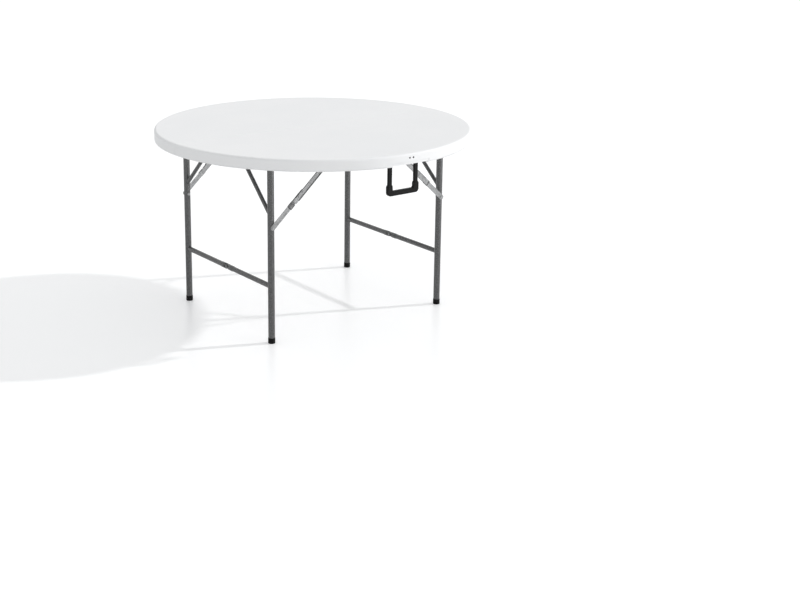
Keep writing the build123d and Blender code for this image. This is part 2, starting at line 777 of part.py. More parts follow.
def mid_rivet(side_x, side_y):
    """Rivet of a stay's elbow, fixed in the upper link, with a spacer to the lower one."""
    spacer_y = lower_link_y + link_thickness + rivet_side_gap
    steps = ((spacer_y, upper_link_y, spacer_radius),
             (upper_link_y, channel_y, rivet_radius),
             (channel_y, channel_y + rivet_head, rivet_head_radius))
    with BuildPart() as elbow:
        rivet(stay_layout(side_x)["middle"], side_y, steps)
    return elbow.part


def anchor_rivets():
    """Rivets that hang the four upper links on the side rails."""
    inner_y = upper_link_y - rivet_side_gap
    steps = ((inner_y - rivet_head, inner_y, rivet_head_radius),
             (inner_y, rail_back_y, rivet_radius),
             (channel_y + rivet_side_gap, rail_web_y, spacer_radius),
             (rail_back_y, rail_back_y + rivet_head, rivet_head_radius))
    with BuildPart() as group:
        for side_x, _ in sides_x:
            for side_y, _ in sides_y:
                rivet(stay_layout(side_x)["anchor"], side_y, steps)
    return group.part


def lower_link(side_x, side_y):
    """Lower link of a stay: a flat bar with a pressed groove along its outer face."""
    layout = stay_layout(side_x)
    tilt = radians(stay_angle)
    foot_x, foot_z = layout["foot"]
    along = (-side_x * cos(tilt), 0, sin(tilt))
    inner_face = Plane(origin=(foot_x, side_y * lower_link_y, foot_z), x_dir=along,
                       z_dir=(0, -1, 0))
    groove_y = lower_link_y + link_thickness - link_groove_depth
    groove_face = Plane(origin=(foot_x, side_y * groove_y, foot_z), x_dir=along,
                        z_dir=(0, -1, 0))
    with BuildPart() as link:
        with BuildSketch(inner_face):
            with Locations((layout["lower"] / 2, 0)):
                SlotCenterToCenter(layout["lower"], link_width)
            Circle(rivet_radius + pivot_fit, mode=Mode.SUBTRACT)
        extrude(amount=-side_y * link_thickness)
        with BuildSketch(groove_face):
            with Locations((layout["lower"] / 2, 0)):
                SlotCenterToCenter(layout["lower"] - 2 * link_groove_margin, link_groove_width)
        extrude(amount=-side_y * link_groove_depth, mode=Mode.SUBTRACT)
    return link.part


def upper_link(side_x, side_y):
    """Upper link of a stay: a shallow channel that runs past the elbow as a stop."""
    layout = stay_layout(side_x)
    tilt = radians(stay_angle)
    anchor_x, anchor_z = layout["anchor"]
    along = (side_x * cos(tilt), 0, -sin(tilt))
    reach = layout["upper"] + tail_length
    web_face = Plane(origin=(anchor_x, side_y * upper_link_y, anchor_z), x_dir=along,
                     z_dir=(0, -1, 0))
    flange_face = Plane(origin=(anchor_x, side_y * channel_y, anchor_z), x_dir=along,
                        z_dir=(0, -1, 0))
    flange_run = reach - 2 * channel_margin
    with BuildPart() as link:
        with BuildSketch(web_face) as web:
            with Locations((reach / 2, 0)):
                Rectangle(reach, link_width)
            tail_end = web.vertices().group_by(Axis.X)[-1]
            fillet(tail_end, radius=tail_corner_radius)
            Circle(link_width / 2)
            Circle(rivet_radius + pivot_fit, mode=Mode.SUBTRACT)
            with Locations((layout["upper"], 0)):
                Circle(rivet_radius + screw_fit, mode=Mode.SUBTRACT)
        extrude(amount=-side_y * link_thickness)
        with BuildSketch(flange_face):
            for edge in (-1, 1):
                with Locations((reach / 2, edge * (link_width - channel_wall) / 2)):
                    Rectangle(flange_run, channel_wall)
        extrude(amount=-side_y * channel_flange)
        with BuildSketch(flange_face):
            with Locations((layout["upper"] + stop_boss_share * tail_length, 0)):
                Circle(stop_boss_radius)
        extrude(amount=-side_y * stop_boss_height)
    return link.part


def save(piece, label):
    """Label one finished piece and write it out."""
    piece.label = label
    export_step(piece, f"parts/{label}.step")


# The fixed pieces under the top, one pair or group at a time
all_rail_screws = []
all_saddle_screws = []
all_hinge_screws = []
for side_y, depth_name in sides_y:
    save(half_top(side_y), f"{depth_name}_top_half")
    save(side_rail(side_y), f"{depth_name}_side_rail")
    save(hinge_leaves(side_y), f"fold_hinge_{depth_name}_leaves")
    all_rail_screws += rail_screw_places(side_y)
    all_hinge_screws += hinge_screw_places(side_y)
    for side_x, width_name in sides_x:
        save(saddle(side_x, side_y), f"{depth_name}_{width_name}_saddle")
        all_saddle_screws += saddle_screw_places(side_x, side_y)
save(screws(all_rail_screws, panel_bottom_z - rail_thickness, screw_head), "rail_screws")
save(screws(all_saddle_screws, panel_bottom_z - saddle_strap, screw_head), "saddle_screws")
save(screws(all_hinge_screws, rim_bottom_z, hinge_screw_head), "fold_hinge_screws")
save(anchor_rivets(), "stay_anchor_rivets")

with BuildPart() as fold_hinge_pins:
    for x in hinge_places:
        with BuildSketch(Plane.YZ.offset(x - hinge_half_length)):
            with Locations((0, rim_bottom_z)):
                Circle(hinge_pin_radius)
        extrude(amount=2 * hinge_half_length)
save(fold_hinge_pins.part, "fold_hinge_pins")

# The handle and what carries it
all_bracket_screws = []
for side_x, width_name in sides_x:
    save(handle_bracket(side_x), f"handle_bracket_{width_name}")
    all_bracket_screws += bracket_screw_places(side_x)
save(screws(all_bracket_screws, panel_bottom_z - bracket_sheet, screw_head),
     "handle_bracket_screws")
save(handle_loop(), "handle")

rod_reach = bracket_outer_x + handle_rod_overhang
with BuildPart() as handle_rod:
    with BuildSketch(Plane.YZ.offset(-rod_reach)):
        with Locations((handle_pivot_y, handle_pivot_z)):
            Circle(handle_rod_radius)
    extrude(amount=2 * rod_reach)
    for side_x, _ in sides_x:
        with BuildSketch(Plane.YZ.offset(side_x * rod_reach)):
            with Locations((handle_pivot_y, handle_pivot_z)):
                Circle(handle_rod_head_radius)
        extrude(amount=side_x * handle_rod_head)
save(handle_rod.part, "handle_rod")

with BuildPart() as rim_screws:
    for place in rim_screw_places:
        for start, radius, length in (
                (rim_screw_sink - rim_screw_head, rim_screw_head_radius, rim_screw_head),
                (rim_screw_sink, screw_radius, screw_length)):
            with BuildSketch(upright(start - top_radius)):
                with Locations(place):
                    Circle(radius)
            extrude(amount=-length)
save(rim_screws.part, "rim_screws")

# The two leg frames and their stays
for side_x, width_name in sides_x:
    for side_y, depth_name in sides_y:
        corner = f"{width_name}_{depth_name}"
        save(leg(side_x, side_y), f"{corner}_leg")
        save(foot_cap(side_x, side_y), f"{corner}_foot_cap")
        save(pivot_tube(side_x, side_y), f"{corner}_pivot_tube")
        save(brace(side_x, side_y), f"{corner}_brace")
        save(crossbar(side_x, side_y), f"{corner}_crossbar")
        save(lower_link(side_x, side_y), f"{corner}_lower_link")
        save(upper_link(side_x, side_y), f"{corner}_upper_link")
        save(mid_rivet(side_x, side_y), f"{corner}_mid_rivet")
    save(crossbar_pin(side_x), f"{width_name}_crossbar_pin")
    save(leg_rivets(side_x), f"{width_name}_leg_rivets")
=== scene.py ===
# %% [markdown]
# # A round folding garden table
#
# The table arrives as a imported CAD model: two moulded half tops, two steel leg frames with
# folding stays, the hinges between the halves and a carrying handle, 57 nodes in all. They
# stay where they are and as they are. This lesson puts a camera and a plain studio round
# them, mixes their four finishes from shader nodes, and models the small work that a
# factory adds at the end: ribbed foot caps, weld beads, screws with crossed slots, catches
# on the stays, plugs in the tubes and the parting line of the mould.
#
# Everything is in metres and in the model's own frame: +X runs along the fold line, +Y from
# the half with the handle to the other half, +Z up, and the floor is at zero.

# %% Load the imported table
import json
from math import atan2, cos, hypot, pi, radians, sin, sqrt

import bmesh
import bpy
from mathutils import Matrix, Vector


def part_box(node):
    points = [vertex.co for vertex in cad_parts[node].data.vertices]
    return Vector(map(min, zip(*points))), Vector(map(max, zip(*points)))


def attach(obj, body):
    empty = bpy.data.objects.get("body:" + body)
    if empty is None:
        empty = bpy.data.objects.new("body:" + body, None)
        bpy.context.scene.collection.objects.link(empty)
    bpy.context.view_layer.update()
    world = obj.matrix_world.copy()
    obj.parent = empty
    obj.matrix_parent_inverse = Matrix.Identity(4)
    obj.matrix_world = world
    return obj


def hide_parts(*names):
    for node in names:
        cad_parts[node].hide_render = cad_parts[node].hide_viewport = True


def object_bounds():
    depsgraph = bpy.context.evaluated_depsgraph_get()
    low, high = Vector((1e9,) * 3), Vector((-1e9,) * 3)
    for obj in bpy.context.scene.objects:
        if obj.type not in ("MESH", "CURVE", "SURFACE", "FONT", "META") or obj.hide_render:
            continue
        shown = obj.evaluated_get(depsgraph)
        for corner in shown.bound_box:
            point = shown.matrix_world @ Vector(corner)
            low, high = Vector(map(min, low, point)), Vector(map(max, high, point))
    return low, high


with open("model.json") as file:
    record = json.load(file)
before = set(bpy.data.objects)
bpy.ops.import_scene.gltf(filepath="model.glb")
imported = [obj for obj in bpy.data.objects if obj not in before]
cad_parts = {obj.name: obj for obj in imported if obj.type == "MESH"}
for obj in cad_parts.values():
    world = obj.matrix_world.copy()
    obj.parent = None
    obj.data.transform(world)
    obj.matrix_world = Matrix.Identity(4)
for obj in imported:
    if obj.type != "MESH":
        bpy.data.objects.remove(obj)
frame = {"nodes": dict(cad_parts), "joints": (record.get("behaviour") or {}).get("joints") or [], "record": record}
cad_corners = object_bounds()
cad_nodes = frame["nodes"]
slot_of = {row["node"]: row["material_slot"] for row in frame["record"]["subparts"]}
scene = bpy.context.scene

# %% [markdown]
# ## The camera
#
# The photograph was taken from about five metres away and a metre above the table, with the
# legs standing parallel. A camera could be placed by eye and nudged, but a short fit of the
# four feet and the edge of the top gives its place, heading and tilt at once. The table
# stands left of the middle of the picture and above it. That is done with a small lens
# shift, so that the camera doesn't have to turn away from the table.

# %% Place the camera
CAMERA_PLACE = (-2.994, -4.284, 1.769)
CAMERA_HEADING = 55.16
CAMERA_TILT = -14.47
CAMERA_LENS = 61.9
CAMERA_SENSOR = 36.0
CAMERA_SHIFT = (0.1125, -0.125)

camera_data = bpy.data.cameras.new("studio_camera")
camera_data.lens = CAMERA_LENS
camera_data.sensor_width = CAMERA_SENSOR
camera_data.shift_x, camera_data.shift_y = CAMERA_SHIFT
camera = bpy.data.objects.new("studio_camera", camera_data)
camera.location = CAMERA_PLACE
camera.rotation_euler = (radians(90 + CAMERA_TILT), 0, radians(CAMERA_HEADING - 90))
scene.collection.objects.link(camera)
scene.camera = camera
scene.view_settings.view_transform = "Standard"
print("camera at", CAMERA_PLACE, "lens", CAMERA_LENS)

# %% [markdown]
# ## Placing nodes by code
#
# A material made in the shader editor is a set of nodes and links. Code can do the same with
# small helpers: one adds a node and sets it, another links two sockets, and the others add
# the few kinds of node that come back in every finish, where a value may be a number or a
# socket. The Mix node has sockets for every kind of data, so its colours go by their places.

# %% Helpers for shader nodes
GRID_WIDTH = 220
GRID_HEIGHT = 200
MIX_FIRST_COLOUR, MIX_SECOND_COLOUR, MIX_COLOUR_RESULT = 6, 7, 2


def put(tree, kind, column, row=0, **settings):
    """Add one node on a grid and set its plain properties."""
    made = tree.nodes.new(kind)
    made.location = (column * GRID_WIDTH, -row * GRID_HEIGHT)
    for name, value in settings.items():
        setattr(made, name, value)
    return made


def feed(tree, source, target):
    """Link a socket to another one, or set the second to a number or colour."""
    if isinstance(source, bpy.types.NodeSocket):
        tree.links.new(source, target)
    else:
        target.default_value = source


def calculate(tree, operation, first, second=0.0, column=2, row=0, clamp=False):
    """One Math node; returns its result socket."""
    made = put(tree, "ShaderNodeMath", column, row, operation=operation, use_clamp=clamp)
    feed(tree, first, made.inputs[0])
    feed(tree, second, made.inputs[1])
    return made.outputs[0]


def between(tree, value, low, high, new_low=0.0, new_high=1.0, column=2, row=0):
    """One smooth Map Range node; returns its result socket."""
    made = put(tree, "ShaderNodeMapRange", column, row, interpolation_type="SMOOTHSTEP")
    for socket, given in zip(made.inputs, (value, low, high, new_low, new_high)):
        feed(tree, given, socket)
    return made.outputs[0]


def noise(tree, place, scale, detail=2.0, column=1, row=0):
    """One Noise Texture node; the scale may be a number or a socket."""
    made = put(tree, "ShaderNodeTexNoise", column, row)
    made.inputs["Detail"].default_value = detail
    feed(tree, place, made.inputs["Vector"])
    feed(tree, scale, made.inputs["Scale"])
    return made


def cells(tree, place, scale, feature, column=1, row=0):
    """One Voronoi Texture node; the scale may be a number or a socket."""
    made = put(tree, "ShaderNodeTexVoronoi", column, row, feature=feature)
    feed(tree, place, made.inputs["Vector"])
    feed(tree, scale, made.inputs["Scale"])
    return made


def tint(tree, mask, first, second, column=3, row=0):
    """Mix two colours by a mask; returns the mixed colour socket."""
    made = put(tree, "ShaderNodeMix", column, row, data_type="RGBA")
    feed(tree, mask, made.inputs[0])
    feed(tree, first, made.inputs[MIX_FIRST_COLOUR])
    feed(tree, second, made.inputs[MIX_SECOND_COLOUR])
    return made.outputs[MIX_COLOUR_RESULT]


def grey(level, warmth=0.0):
    """An almost neutral colour; warmth moves it from blue to yellow."""
    return (level * (1 + warmth), level, level * (1 - warmth), 1.0)


print("helpers ready")

# %% [markdown]
# ## The studio
#
# The picture has a white ground with no horizon and thin shadows that run from each foot to
# the left. So there is a wide pale floor, a white world that the camera sees, a softer grey
# sky that lights the table, and one sun low on the right, a little behind. Its direction
# comes from the shadows: a crossbar 217 mm up casts its shadow about 330 mm away, which is a
# sun 33 degrees high.
#
# The Light Path node tells apart the rays that look at the world from those that light the
# table. Looking rays, also those that mirror in metal, find plain white.

# %% Light the world
SKY_COLOUR = (0.97, 0.985, 1.0, 1.0)
SKY_LEVEL = 0.74
GROUND_LEVEL = 1.0
SUN_HEIGHT = 33.0
SUN_HEADING = -22.0
SUN_LEVEL = 1.35
SUN_WIDTH = 1.8


def looking_rays(tree, column, row=0):
    """A mask that is one for camera, mirror and glass rays."""
    path = put(tree, "ShaderNodeLightPath", column - 2, row)
    seen = calculate(tree, "MAXIMUM", path.outputs["Is Camera Ray"],
                     path.outputs["Is Glossy Ray"], column - 1, row)
    return calculate(tree, "MAXIMUM", seen, path.outputs["Is Transmission Ray"], column, row)


world = bpy.data.worlds.new("studio_world")
scene.world = world
world.use_nodes = True
sky = world.node_tree
sky.nodes.clear()
sky_light = put(sky, "ShaderNodeBackground", 1, 1)
sky_light.inputs["Color"].default_value = SKY_COLOUR
sky_light.inputs["Strength"].default_value = SKY_LEVEL
white_ground = put(sky, "ShaderNodeBackground", 1, 2)
white_ground.inputs["Color"].default_value = grey(1.0)
white_ground.inputs["Strength"].default_value = GROUND_LEVEL
sky_mix = put(sky, "ShaderNodeMixShader", 3)
sky_end = put(sky, "ShaderNodeOutputWorld", 4)
feed(sky, looking_rays(sky, 1), sky_mix.inputs[0])
feed(sky, sky_light.outputs[0], sky_mix.inputs[1])
feed(sky, white_ground.outputs[0], sky_mix.inputs[2])
feed(sky, sky_mix.outputs[0], sky_end.inputs["Surface"])

sun_data = bpy.data.lights.new("right_sun", "SUN")
sun_data.energy = SUN_LEVEL
sun_data.angle = radians(SUN_WIDTH)
sun = bpy.data.objects.new("right_sun", sun_data)
sun.rotation_euler = (radians(90 - SUN_HEIGHT), 0, radians(SUN_HEADING + 90))
scene.collection.objects.link(sun)
print("sky", SKY_LEVEL, "sun", SUN_LEVEL)

# %% [markdown]
# A second, very soft lamp stands in front on the right. It lifts the side of the rim that
# faces the camera, as a white wall or a softbox beside the photographer does. It is a wide
# sheet that stands almost on the floor, because an upright leg, seen from a little above,
# mirrors what stands low: the lamp leaves a soft lighter streak along each leg.

# %% Add the soft front lamp
SOFTBOX_PLACE = Vector((2.2, -4.15, 0.4))
SOFTBOX_AIM = Vector((0, 0, 0.4))
SOFTBOX_WIDTH = 2.2
SOFTBOX_HEIGHT = 0.7
SOFTBOX_POWER = 30.0

softbox_data = bpy.data.lights.new("front_softbox", "AREA")
softbox_data.shape = "RECTANGLE"
softbox_data.size = SOFTBOX_WIDTH
softbox_data.size_y = SOFTBOX_HEIGHT
softbox_data.energy = SOFTBOX_POWER
softbox = bpy.data.objects.new("front_softbox", softbox_data)
softbox.location = SOFTBOX_PLACE
softbox.rotation_euler = (SOFTBOX_AIM - SOFTBOX_PLACE).to_track_quat("-Z", "Y").to_euler()
scene.collection.objects.link(softbox)
print("softbox", SOFTBOX_POWER, "W")

# %% [markdown]
# The floor is one wide grid. Its colour is nearly white and a little light of its own, seen
# only by looking rays, brings it up to the white of the ground, while the shadows still
# darken it. A low roughness gives the short faint mirror image under each foot. From below
# the floor lets every ray through, so that the underside of the table can be looked at.

# %% Lay the floor
FLOOR_HALF_SIZE = 20.0
FLOOR_COLOUR = 0.88
FLOOR_OWN_LIGHT = 0.2
FLOOR_ROUGHNESS = 0.28
FLOOR_GLOSS = 0.25

floor_finish = bpy.data.materials.new("studio_floor")
floor_finish.use_nodes = True
floor_tree = floor_finish.node_tree
floor_tree.nodes.clear()
floor_paint = put(floor_tree, "ShaderNodeBsdfPrincipled", 2)
floor_paint.inputs["Base Color"].default_value = grey(FLOOR_COLOUR)
floor_paint.inputs["Roughness"].default_value = FLOOR_ROUGHNESS
floor_paint.inputs["Specular IOR Level"].default_value = FLOOR_GLOSS
floor_glow = put(floor_tree, "ShaderNodeEmission", 2, 3)
own_light = calculate(floor_tree, "MULTIPLY", looking_rays(floor_tree, 0, 3),
                      FLOOR_OWN_LIGHT, 1, 3)
feed(floor_tree, own_light, floor_glow.inputs["Strength"])
floor_sum = put(floor_tree, "ShaderNodeAddShader", 3)
floor_side = put(floor_tree, "ShaderNodeNewGeometry", 3, 2)
floor_clear = put(floor_tree, "ShaderNodeBsdfTransparent", 3, 3)
floor_mix = put(floor_tree, "ShaderNodeMixShader", 4)
floor_end = put(floor_tree, "ShaderNodeOutputMaterial", 5)
feed(floor_tree, floor_paint.outputs[0], floor_sum.inputs[0])
feed(floor_tree, floor_glow.outputs[0], floor_sum.inputs[1])
feed(floor_tree, floor_side.outputs["Backfacing"], floor_mix.inputs[0])
feed(floor_tree, floor_sum.outputs[0], floor_mix.inputs[1])
feed(floor_tree, floor_clear.outputs[0], floor_mix.inputs[2])
feed(floor_tree, floor_mix.outputs[0], floor_end.inputs["Surface"])

floor_shape = bmesh.new()
bmesh.ops.create_grid(floor_shape, x_segments=1, y_segments=1, size=FLOOR_HALF_SIZE)
floor_mesh = bpy.data.meshes.new("studio_floor")
floor_shape.to_mesh(floor_mesh)
floor_shape.free()
floor_mesh.materials.append(floor_finish)
floor = bpy.data.objects.new("studio_floor", floor_mesh)
scene.collection.objects.link(floor)
print("floor", 2 * FLOOR_HALF_SIZE, "m wide")

# %% [markdown]
# ## Effects that the finishes share
#
# Real surfaces differ from plain colours in a few repeated ways: a moulded grain, hammered
# dimples, worn edges, a breath of dust. Each of these is a node group with named inputs, so
# that every finish can use it with its own numbers. A group gives out only masks, heights
# and colours. The shader itself stays in the material, where an exporter can read it.
#
# The patterns read Object coordinates: every piece has its place in its mesh, so a pattern
# stays on the piece when a leg folds.

# %% A helper that starts a node group
NUMBER = "NodeSocketFloat"
PLACE = "NodeSocketVector"


def new_effect(name, inputs, outputs):
    """Start a group; inputs are (name, kind, value) and outputs are names of values."""
    group = bpy.data.node_groups.new(name, "ShaderNodeTree")
    for label, kind, value in inputs:
        socket = group.interface.new_socket(label, in_out="INPUT", socket_type=kind)
        if kind == NUMBER:
            socket.default_value = value
    for label in outputs:
        group.interface.new_socket(label, in_out="OUTPUT", socket_type=NUMBER)
    given = put(group, "NodeGroupInput", 0).outputs
    result = put(group, "NodeGroupOutput", 7).inputs
    return group, given, result


def use_effect(tree, group, column, row=0, **values):
    """Place a group in a material; underscores in the names stand for spaces."""
    made = put(tree, "ShaderNodeGroup", column, row, node_tree=group)
    for name, value in values.items():
        feed(tree, value, made.inputs[name.replace("_", " ")])
    return made.outputs


print("groups can be made")

# %% [markdown]
# ### Moulded grain
#
# The steel mould of a plastic table is etched, which leaves a fine pebbled grain that hides
# scratches. Cells of a Voronoi texture, softened and mixed with a little noise, look the
# same. The grain is about a millimetre wide.

# %% The moulded grain group
PEBBLE_RANGE = (0.1, 0.75)
RIPPLE_SHARE = 0.35
RIPPLE_RANGE = (0.3, 0.7)

moulded_grain, given, result = new_effect(
    "moulded_grain",
    [("Place", PLACE, None), ("Cells per metre", NUMBER, 900.0), ("Unevenness", NUMBER, 0.35)],
    ["Height", "Shine"])
grains = cells(moulded_grain, given["Place"], given["Cells per metre"], "SMOOTH_F1")
ripple_scale = calculate(moulded_grain, "MULTIPLY", given["Cells per metre"], RIPPLE_SHARE,
                         1, 3)
ripple = noise(moulded_grain, given["Place"], ripple_scale, row=2)
pebbles = between(moulded_grain, grains.outputs["Distance"], *PEBBLE_RANGE, 1.0, 0.0)
uneven = calculate(moulded_grain, "MULTIPLY", ripple.outputs[0], given["Unevenness"], 3, 2)
feed(moulded_grain, calculate(moulded_grain, "ADD", pebbles, uneven, 4), result["Height"])
feed(moulded_grain, between(moulded_grain, ripple.outputs[0], *RIPPLE_RANGE, column=4, row=3),
     result["Shine"])
print(moulded_grain.name, "ready")

# %% [markdown]
# ### Hammered dimples
#
# Hammered paint pulls itself into small round pools while it dries, with bright ridges
# between them where the metal flakes gather. The distance to the nearest Voronoi centre is
# the pool, and the distance to the nearest cell edge is the ridge. The texture's own place
# is bent by noise first, so that the cells don't look drawn.

# %% The hammered dimples group
BEND_SCALE = 260.0
BEND_MIDDLE = (0.5, 0.5, 0.5)
FLAKE_SCALE = 2600.0
POOL_RANGE = (0.05, 0.7)
RIDGE_RANGE = (0.0, 0.22)
FLAKE_RANGE = (0.45, 0.7)

hammered_dimples, given, result = new_effect(
    "hammered_dimples",
    [("Place", PLACE, None), ("Pools per metre", NUMBER, 300.0), ("Bend", NUMBER, 0.0012)],
    ["Height", "Ridge", "Flake"])
bend = noise(hammered_dimples, given["Place"], BEND_SCALE, 1.0, row=2)
centred = put(hammered_dimples, "ShaderNodeVectorMath", 2, 2, operation="SUBTRACT")
centred.inputs[1].default_value = BEND_MIDDLE
feed(hammered_dimples, bend.outputs["Color"], centred.inputs[0])
scaled = put(hammered_dimples, "ShaderNodeVectorMath", 3, 2, operation="SCALE")
feed(hammered_dimples, centred.outputs[0], scaled.inputs[0])
feed(hammered_dimples, given["Bend"], scaled.inputs["Scale"])
bent = put(hammered_dimples, "ShaderNodeVectorMath", 3, 0, operation="ADD")
feed(hammered_dimples, given["Place"], bent.inputs[0])
feed(hammered_dimples, scaled.outputs[0], bent.inputs[1])
pools = cells(hammered_dimples, bent.outputs[0], given["Pools per metre"], "SMOOTH_F1", 4)
ridges = cells(hammered_dimples, bent.outputs[0], given["Pools per metre"],
               "DISTANCE_TO_EDGE", 4, 2)
flakes = noise(hammered_dimples, given["Place"], FLAKE_SCALE, column=4, row=4)
pool = between(hammered_dimples, pools.outputs["Distance"], *POOL_RANGE, column=5)
ridge = between(hammered_dimples, ridges.outputs["Distance"], *RIDGE_RANGE, 1.0, 0.0, 5, 2)
flake = between(hammered_dimples, flakes.outputs[0], *FLAKE_RANGE, column=5, row=4)
feed(hammered_dimples, pool, result["Height"])
feed(hammered_dimples, ridge, result["Ridge"])
feed(hammered_dimples, flake, result["Flake"])
print(hammered_dimples.name, "ready")

# %% [markdown]
# ### Worn edges
#
# Paint and plating rub off first where a piece has an outer edge. The Bevel node gives the
# normal that the surface would have if its edges were rounded. Where it differs from the
# real normal there is an edge, and noise breaks the line up.

# %% The worn edges group
EDGE_SAMPLES = 4
EDGE_RANGE = (0.97, 0.75)
BREAK_SCALE = 90.0
BREAK_RANGE = (0.35, 0.65)

worn_edges, given, result = new_effect(
    "worn_edges",
    [("Place", PLACE, None), ("Width", NUMBER, 0.0008), ("Amount", NUMBER, 0.5)],
    ["Wear"])
rounded = put(worn_edges, "ShaderNodeBevel", 1, samples=EDGE_SAMPLES)
feed(worn_edges, given["Width"], rounded.inputs["Radius"])
surface_place = put(worn_edges, "ShaderNodeNewGeometry", 1, 1)
agreement = put(worn_edges, "ShaderNodeVectorMath", 2, operation="DOT_PRODUCT")
feed(worn_edges, rounded.outputs[0], agreement.inputs[0])
feed(worn_edges, surface_place.outputs["Normal"], agreement.inputs[1])
edge_line = between(worn_edges, agreement.outputs["Value"], *EDGE_RANGE, column=3)
breaks = noise(worn_edges, given["Place"], BREAK_SCALE, 4.0, 2, 2)
broken = calculate(worn_edges, "MULTIPLY", edge_line,
                   between(worn_edges, breaks.outputs[0], *BREAK_RANGE, column=3, row=2), 4)
feed(worn_edges, calculate(worn_edges, "MULTIPLY", broken, given["Amount"], 5, clamp=True),
     result["Wear"])
print(worn_edges.name, "ready")

# %% [markdown]
# ### Dust and handling
#
# Even a new table has soft cloudy patches where it was wiped, and a trace of dust on what
# faces up. The Normal output of Texture Coordinate turns with the piece, so the dust stays
# where it is when the legs fold.

# %% The handling group
CLOUD_ROUGHNESS = 0.6
CLOUD_RANGE = (0.3, 0.7)
SPECK_SCALE = 700.0
SPECK_RANGE = (0.5, 0.75)
UPWARD_RANGE = (0.3, 1.0)

handling, given, result = new_effect(
    "handling",
    [("Place", PLACE, None), ("Patches per metre", NUMBER, 5.0), ("Dust", NUMBER, 0.3)],
    ["Cloud", "Dust"])
cloud = noise(handling, given["Place"], given["Patches per metre"], 5.0)
cloud.inputs["Roughness"].default_value = CLOUD_ROUGHNESS
specks = noise(handling, given["Place"], SPECK_SCALE, 3.0, row=2)
own_normal = put(handling, "ShaderNodeTexCoord", 1, 4)
split = put(handling, "ShaderNodeSeparateXYZ", 2, 4)
feed(handling, own_normal.outputs["Normal"], split.inputs[0])
upward = between(handling, split.outputs["Z"], *UPWARD_RANGE, column=3, row=4)
settled = calculate(handling, "MULTIPLY", upward,
                    between(handling, specks.outputs[0], *SPECK_RANGE, column=3, row=2), 4, 2)
feed(handling, calculate(handling, "MULTIPLY", settled, given["Dust"], 5, 2), result["Dust"])
feed(handling, between(handling, cloud.outputs[0], *CLOUD_RANGE, column=4), result["Cloud"])
print(handling.name, "ready")

# %% [markdown]
# ## The finishes
#
# Every finish starts the same way: one Principled shader and an output. What is the same all
# over a surface, such as how metallic it is, is set on the shader's own socket. What changes
# over the surface comes from the groups.

# %% A helper that starts a finish
def new_finish(name, **values):
    """Start a material; the values are set on the Principled shader's own sockets."""
    finish = bpy.data.materials.new(name)
    finish.use_nodes = True
    tree = finish.node_tree
    tree.nodes.clear()
    shader = put(tree, "ShaderNodeBsdfPrincipled", 7)
    for label, value in values.items():
        shader.inputs[label.replace("_", " ")].default_value = value
    end = put(tree, "ShaderNodeOutputMaterial", 9)
    feed(tree, shader.outputs[0], end.inputs["Surface"])
    place = put(tree, "ShaderNodeTexCoord", 0).outputs["Object"]
    return finish, tree, shader, place


def dent(tree, shader, height, depth, strength):
    """Feed a height through a Bump node to the shader; depth is in metres."""
    made = put(tree, "ShaderNodeBump", 6, 3)
    made.inputs["Strength"].default_value = strength
    made.inputs["Distance"].default_value = depth
    feed(tree, height, made.inputs["Height"])
    feed(tree, made.outputs[0], shader.inputs["Normal"])


finishes = {}
print("finishes can be made")

# %% [markdown]
# ### White moulded plastic
#
# The half tops are blown polyethylene: nearly white, a little translucent looking, with a
# silky shine. The colour varies by about two percent in wide clouds, and the grain makes the
# shine soft. The colour is written as it should look, because the lamps are plain.

# %% White plastic
WHITE_LOW, WHITE_HIGH = grey(0.845, -0.002), grey(0.862, 0.001)
WHITE_DUST = grey(0.74, 0.03)
WHITE_GLOSS = 0.35
WHITE_ROUGHNESS = 0.46
WHITE_DULLING = 0.06
WHITE_GRAIN_DEPTH = 0.00006
GRAIN_STRENGTH = 0.6

white_plastic, tree, shader, place = new_finish("white_moulded_plastic", IOR=1.5)
shader.inputs["Specular IOR Level"].default_value = WHITE_GLOSS
grain = use_effect(tree, moulded_grain, 1, 1, Place=place, Cells_per_metre=950.0)
wiped = use_effect(tree, handling, 1, 2, Place=place, Patches_per_metre=3.5, Dust=0.35)
clouded = tint(tree, wiped["Cloud"], WHITE_LOW, WHITE_HIGH, 3)
feed(tree, tint(tree, wiped["Dust"], clouded, WHITE_DUST, 4), shader.inputs["Base Color"])
shine = calculate(tree, "MULTIPLY_ADD", grain["Shine"], WHITE_DULLING, 3, 2)
shine.node.inputs[2].default_value = WHITE_ROUGHNESS
feed(tree, shine, shader.inputs["Roughness"])
dent(tree, shader, grain["Height"], WHITE_GRAIN_DEPTH, GRAIN_STRENGTH)
finishes["white_plastic"] = white_plastic
print(white_plastic.name)

# %% [markdown]
# ### Black moulded plastic
#
# The handle and the foot caps are harder plastic with a finer grain. Black plastic always
# looks a little grey on its edges, where it is handled or scuffed, so the worn edges are
# lighter and duller.

# %% Black plastic
BLACK_LOW, BLACK_HIGH = grey(0.005), grey(0.008, 0.02)
BLACK_WORN = grey(0.035)
BLACK_DUST = grey(0.09, 0.03)
BLACK_GLOSS = 0.1
BLACK_ROUGHNESS = (0.36, 0.5)
BLACK_GRAIN_DEPTH = 0.00004

